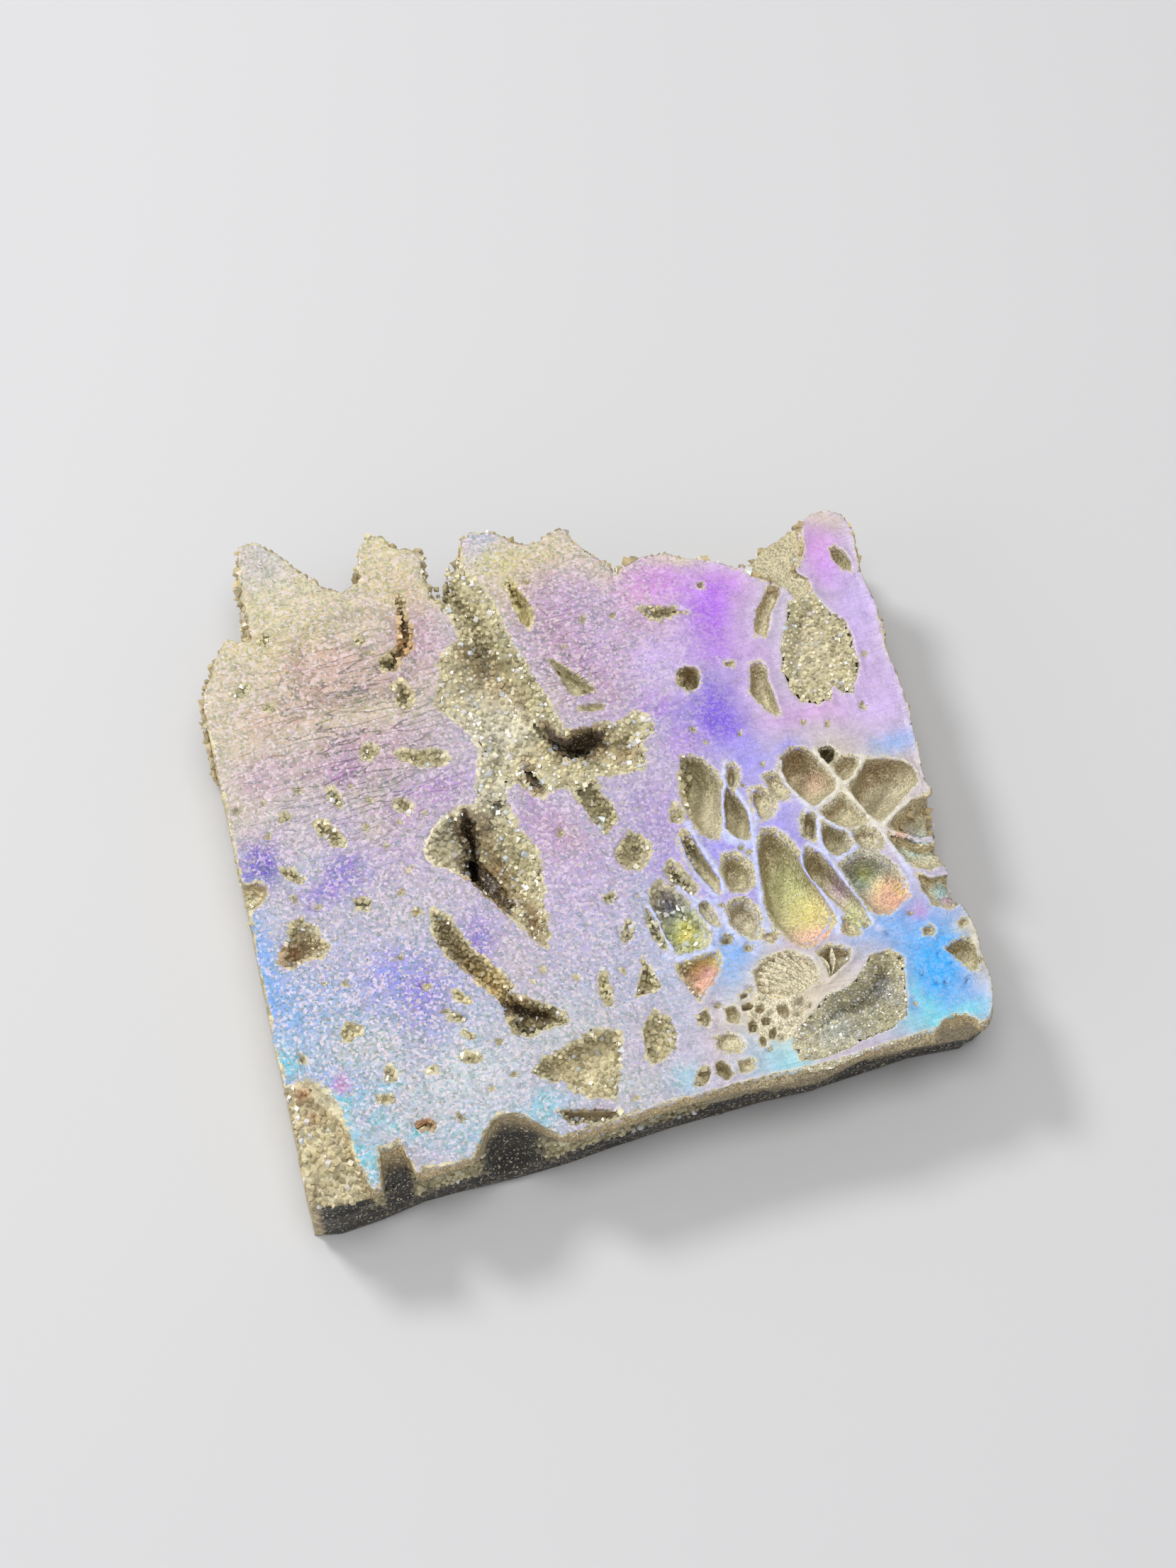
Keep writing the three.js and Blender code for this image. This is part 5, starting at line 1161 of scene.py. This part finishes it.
def seats(corners, triangles, wanted, spacing, rng):
    """Random places on the wanted triangles, no two nearer than the spacing there.

    Gives the places, their normals and the number of the triangle that each stands on.
    """
    chosen = np.flatnonzero(wanted)
    a, b, c = (corners[triangles[chosen, i]] for i in range(3))
    cross = np.cross(b - a, c - a)
    area = np.linalg.norm(cross, axis=1) / 2
    pace = spacing(corners[triangles[chosen]].mean(axis=1))
    tries = area / (pace ** 2) * 2.6
    count = int(tries.sum())
    pick = rng.choice(len(chosen), size=count, p=tries / tries.sum())
    u, v = rng.random(count), rng.random(count)
    flip = u + v > 1
    u[flip], v[flip] = 1 - u[flip], 1 - v[flip]
    places = a[pick] + (b - a)[pick] * u[:, None] + (c - a)[pick] * v[:, None]
    kept = []
    taken = {}
    widest = float(pace.max())
    cells = np.floor(places / widest).astype(int)
    for i in range(count):
        x, y, z = cells[i]
        near = (j for dx in (-1, 0, 1) for dy in (-1, 0, 1) for dz in (-1, 0, 1)
                for j in taken.get((x + dx, y + dy, z + dz), ()))
        room = pace[pick[i]] ** 2
        if all(((places[i] - places[j]) ** 2).sum() > room for j in near):
            kept.append(i)
            taken.setdefault((x, y, z), []).append(i)
    kept = np.array(kept, dtype=int)
    normals = cross[pick[kept]] / np.maximum(2 * area[pick[kept]], 1e-12)[:, None]
    return places[kept], normals, chosen[pick[kept]]


def turned(normals, rng, lean):
    """Rotation matrices that stand crystals on the normals, leaning and turned at random."""
    up = normals + lean * rng.normal(size=normals.shape)
    up /= np.linalg.norm(up, axis=1, keepdims=True)
    side = rng.normal(size=normals.shape)
    side -= up * (side * up).sum(axis=1, keepdims=True)
    side /= np.linalg.norm(side, axis=1, keepdims=True)
    return np.stack([side, np.cross(up, side), up], axis=2)


def grown(places, normals, sizes, rng):
    """One mesh of crystals at the places: corners, triangles and each corner's crystal number."""
    turns = turned(normals, rng, CRYSTAL_LEAN)
    kinds = rng.random(len(places)) < POINT_SHARE
    all_corners, all_triangles, owners = [], [], []
    start = 0
    for kind, (shape, faces) in enumerate(CRYSTAL_FORMS):
        rows = np.flatnonzero(kinds == bool(kind))
        stretch = 0.8 + 0.5 * rng.random((len(rows), 1, 3))
        local = shape[None] * stretch * sizes[rows, None, None]
        world = np.einsum("nij,nkj->nki", turns[rows], local)
        world += (places[rows] + normals[rows] * (sizes[rows] * CRYSTAL_LIFT)[:, None])[:, None]
        all_corners.append(world.reshape(-1, 3))
        offsets = start + np.arange(len(rows)) * len(shape)
        all_triangles.append((faces[None] + offsets[:, None, None]).reshape(-1, 3))
        owners.append(np.repeat(rows, len(shape)))
        start += len(rows) * len(shape)
    return np.vstack(all_corners), np.vstack(all_triangles), np.concatenate(owners)


def within_box(corners):
    low, high = (np.array(c) / MM for c in CAD_BOX)
    return np.clip(corners, low + 0.01, high - 0.01)


def crystal_piece(name, places, normals, sizes, tints, rng, material,
                  bed=None, lit=1.0, glinting=0.1, spread=0.5):
    """A joined mesh of crystals, with an optional bed of (corners, triangles, tints) under them."""
    corners, triangles, owners = grown(places, normals, sizes, rng)
    shades = np.clip(tints * (lit + spread * (rng.random((len(places), 1)) - 0.5)), 0, 1)
    # painted glints: a share of the lighter crystals take on a glint colour
    glints = np.array(GLINT_COLOURS)[rng.integers(len(GLINT_COLOURS), size=len(places))]
    glinting_ones = (tints.mean(axis=1, keepdims=True) > 0.12) & (rng.random((len(places), 1)) < glinting)
    shades = np.where(glinting_ones, 0.3 * shades + GLINT_SHARE * glints, shades)
    colours = shades[owners]
    if bed is not None:
        bed_corners, bed_triangles, bed_tints = bed
        triangles = np.vstack([bed_triangles, triangles + len(bed_corners)])
        corners = np.vstack([bed_corners, corners])
        colours = np.vstack([bed_tints, colours])
    piece = mesh_object(name, within_box(corners), triangles, material, smooth=False)
    colour_attribute(piece, "bare_tint", colours)
    return piece


# ---- pieces


def wrinkles(local):
    """How wrinkled the coat is: most at the back left, less in the left middle and behind the hollow."""
    most, lower, middle = spot(local, -21, 17, 9, 9), spot(local, -22, 6, 9, 6), spot(local, 5, 18, 6, 9)
    return np.clip(most + 0.5 * lower + 0.45 * middle + 0.12, 0, 1)


def make_stone(surface, material):
    coat, bare, cover, grainy = paint(surface)
    roughen(surface)
    piece = mesh_object("stone_surface", surface.corners, surface.triangles, material)
    colour_attribute(piece, "coat_tint", coat)
    colour_attribute(piece, "bare_tint", bare)
    number_attribute(piece, "cover", cover)
    number_attribute(piece, "grainy", grainy)
    number_attribute(piece, "wrinkled", wrinkles(surface.local))
    number_attribute(piece, "fanned", patch_cover(surface.local, -20, 23, 7, 6))
    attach(piece, "root")
    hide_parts("stone")
    return bare, cover


def make_stone_druse(surface, bare, cover, material, rng):
    """The crystals that stand on the stone's own bare faces."""
    triangles = surface.triangles
    middle = surface.flat[triangles].mean(axis=1)
    shown = cover[triangles].mean(axis=1) < CRYSTAL_REACH
    local = middle[:, :2] - DATUM
    smooth_side = melted(local)
    in_pit = surface.in_pit[triangles].any(axis=1)
    flank = surface.is_flank[triangles].all(axis=1) & (middle[:, 2] > 1)
    back = flank & (local[:, 1] > ROUGH_BACK)
    right = flank & (local[:, 0] > ROUGH_RIGHT) & (local[:, 1] > -31) & (middle[:, 2] < 12.5)
    clear = cleft_reach(seen_from_front(middle)) > 1.0
    smooth_walls = patch_cover(local, 4, 18, 4, 13) > 0.5
    wanted = shown & clear & ((in_pit & (smooth_side < 0.62) & ~smooth_walls) | back | right)

    def spacing(points):
        outer = ((points[:, 1] > ROUGH_BACK) | (points[:, 0] > 31)) & ~is_inside(surface.outline, points)
        return np.where(outer, FLANK_PACE, PIT_PACE + 0.12 * (fractal(points, 6.0, 2, 11) > 0.1))

    places, normals, which = seats(surface.corners, triangles, wanted, spacing, rng)
    sizes = spacing(places) * (0.95 + 0.7 * rng.random(len(places)))
    tints = bare[triangles[which]].mean(axis=1)
    piece = crystal_piece("stone_druse", places, normals, sizes, tints, rng, material)
    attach(piece, "root")


def crust_bed(surface, name):
    """The stone's own surface in one hollow, raised to the top of the crust that lines it."""
    crust = arrays_of(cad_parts[name])[0]
    footprint = tree_of(crust * (1, 1, 0))
    lowest = crust[:, 2].min() - CRUST_RISE - 0.5
    at_rim = surface.on_top & (surface.rim_distance < 0.12)
    wanted = (surface.in_pit & (surface.flat[:, 2] > lowest)) | at_rim
    near = np.flatnonzero(wanted)
    wanted[near] = distances_to(footprint, surface.flat[near] * (1, 1, 0)) < CRUST_BORDER
    reach = cleft_reach(seen_from_front(surface.flat + (0, 0, CRUST_RISE)))
    wanted &= reach > CLEFT_OPENING
    kept = surface.triangles[wanted[surface.triangles].all(axis=1)]
    used, triangles = np.unique(kept, return_inverse=True)
    triangles = triangles.reshape(-1, 3)
    corners = surface.corners[used]
    from_rim = -surface.rim_distance[used]
    above_cleft = corners[:, 2] - lowest
    rise = CRUST_RISE * ramp(from_rim, 0.0, 1.7) * ramp(above_cleft, 0.0, 1.6) * ramp(reach[used], 0.8, 1.8)
    corners = corners + corner_normals(corners, triangles) * (rise + 0.04)[:, None]
    held = (from_rim < 0.4) | (above_cleft < 0.6)
    return smoothed(corners, triangles, held, 4), triangles


def make_crust(surface, name, material, rng, pace):
    """One hollow's crust: its bed and the crystals on it."""
    corners, triangles = crust_bed(surface, name)
    everywhere = np.ones(len(triangles), dtype=bool)
    places, normals, _ = seats(corners, triangles, everywhere, lambda p: np.full(len(p), pace), rng)
    clear = cleft_reach(seen_from_front(places)) > CLEFT_OPENING
    places, normals = places[clear], normals[clear]
    sizes = pace * (1.05 + 0.9 * rng.random(len(places)) ** 3)
    piece = crystal_piece(
        name + "_crystals", places, normals, sizes, bare_tints(places), rng, material,
        bed=(corners, triangles, bare_tints(corners)), lit=1.02, glinting=0.28, spread=0.8,
    )
    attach(piece, "root")
    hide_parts(name)


def make_blades(material):
    """The thin leaning blades that stand across the fan."""
    corners, triangles = [], []
    for line in FAN_BLADES:
        line = np.array(line)
        stations = np.linspace(0, len(line) - 1, BLADE_STATIONS)
        path = np.c_[[np.interp(stations, np.arange(len(line)), line[:, i]) for i in (0, 1)]].T
        for _ in range(3):
            path[1:-1] = (path[:-2] + 2 * path[1:-1] + path[2:]) / 4
        along = np.gradient(path, axis=0)
        side = np.c_[-along[:, 1], along[:, 0]] / np.linalg.norm(along, axis=1, keepdims=True)
        top = BLADE_TOP - 0.25 * np.sin(stations * 2.3 + line[0, 0])
        rings = []
        for drop, lean in ((0.0, 0.0), (BLADE_DROP * 0.5, 0.35), (BLADE_DROP, 1.0)):
            middle = path + lean * BLADE_LEAN * 0.9 + DATUM
            for way in (-1, 1):
                rings.append(np.c_[middle + way * side * BLADE_HALF_WIDTH * (1 + drop), top - drop])
        ring = np.stack([rings[i] for i in (0, 2, 4, 5, 3, 1)], axis=1)
        count, sides = ring.shape[:2]
        start = sum(len(c) for c in corners)
        corners.append(ring.reshape(-1, 3))
        for i in range(count - 1):
            for j in range(sides):
                a, b = start + i * sides + j, start + i * sides + (j + 1) % sides
                triangles += [(a, b, b + sides), (a, b + sides, a + sides)]
        for first in (start, start + (count - 1) * sides):
            fan = [(first, first + j, first + j + 1) for j in range(1, sides - 1)]
            triangles += fan if first != start else [f[::-1] for f in fan]
    corners = np.vstack(corners)
    corners += 0.06 * waver(corners, 0.5, 15)
    piece = mesh_object("fan_blades", within_box(corners), np.array(triangles), material)
    tint = 0.78 * IVORY * (1 + 0.15 * fractal(corners, 1.2, 2, 16))[:, None]
    # painted shade: each blade turns brown towards its foot
    tint = toward(tint, BROWN, 0.5 * ramp(BLADE_TOP - corners[:, 2], 0.6, 1.8))
    colour_attribute(piece, "bare_tint", np.clip(tint, 0, 1))
    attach(piece, "root")


# ---- floor, light and camera


FLOOR_REACH = 3.0  # in metres, as are the places, sizes and distances below
FLOOR_GREY = (0.62, 0.62, 0.63, 1)
LIGHTS = [  # name, place, size, power
    ("key", (-0.32, 0.42, 0.62), 0.2, 3.2),
    ("overhead", (-0.02, -0.12, 0.9), 0.45, 3.6),
    ("side", (-0.7, -0.2, 0.4), 0.5, 0.7),
]
LIT_PLACE = Vector((0, 0, 0.01))
WORLD_STRENGTH = 0.36


def make_floor():
    n = Nodes("floor")
    n.surface(Base_Color=FLOOR_GREY, Roughness=0.8)
    corners = np.array([(-1, -1, 0), (1, -1, 0), (1, 1, 0), (-1, 1, 0)]) * FLOOR_REACH / MM
    floor = mesh_object("floor", corners, np.array([(0, 1, 2), (0, 2, 3)]), n.material)


def make_lights():
    for name, place, size, power in LIGHTS:
        data = bpy.data.lights.new(name, "AREA")
        data.shape = "DISK"
        data.size = size
        data.energy = power
        light = bpy.data.objects.new(name, data)
        light.location = place
        light.rotation_euler = (LIT_PLACE - Vector(place)).to_track_quat("-Z", "Y").to_euler()
        bpy.context.scene.collection.objects.link(light)
    world = bpy.data.worlds.new("studio")
    world.use_nodes = True
    background = world.node_tree.nodes["Background"]
    background.inputs["Color"].default_value = (1, 1, 1, 1)
    background.inputs["Strength"].default_value = WORLD_STRENGTH
    bpy.context.scene.world = world


CAMERA_ELEVATION = 64.0
CAMERA_AZIMUTH = -15.9
CAMERA_DISTANCE = 0.4263
CAMERA_AIM = (2.1, -0.3)  # the place on the sawn top at the middle of the view, from DATUM
CAMERA_LENS = 85.0
CAMERA_SENSOR = 36.0


def make_camera():
    e, a = math.radians(CAMERA_ELEVATION), math.radians(CAMERA_AZIMUTH)
    back = Vector((math.sin(a) * math.cos(e), -math.cos(a) * math.cos(e), math.sin(e)))
    aim = Vector((*(DATUM + CAMERA_AIM), THICKNESS)) * MM
    data = bpy.data.cameras.new("camera")
    data.lens = CAMERA_LENS
    data.sensor_width = CAMERA_SENSOR
    data.sensor_fit = "AUTO"
    data.clip_start = 0.01
    camera = bpy.data.objects.new("camera", data)
    camera.location = aim + back * CAMERA_DISTANCE
    camera.rotation_euler = back.to_track_quat("Z", "Y").to_euler()
    bpy.context.scene.collection.objects.link(camera)
    bpy.context.scene.camera = camera


def main():
    bpy.context.scene.view_settings.view_transform = "Standard"
    rng = np.random.default_rng(7)
    coated = stone_material()
    glassy = druse_material()
    surface = Surface(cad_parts["stone"])
    bare, cover = make_stone(surface, coated)
    make_stone_druse(surface, bare, cover, glassy, rng)
    for name, pace in CRUST_PACES.items():
        make_crust(surface, name, glassy, rng, pace)
    make_blades(coated)
    make_floor()
    make_lights()
    make_camera()


main()
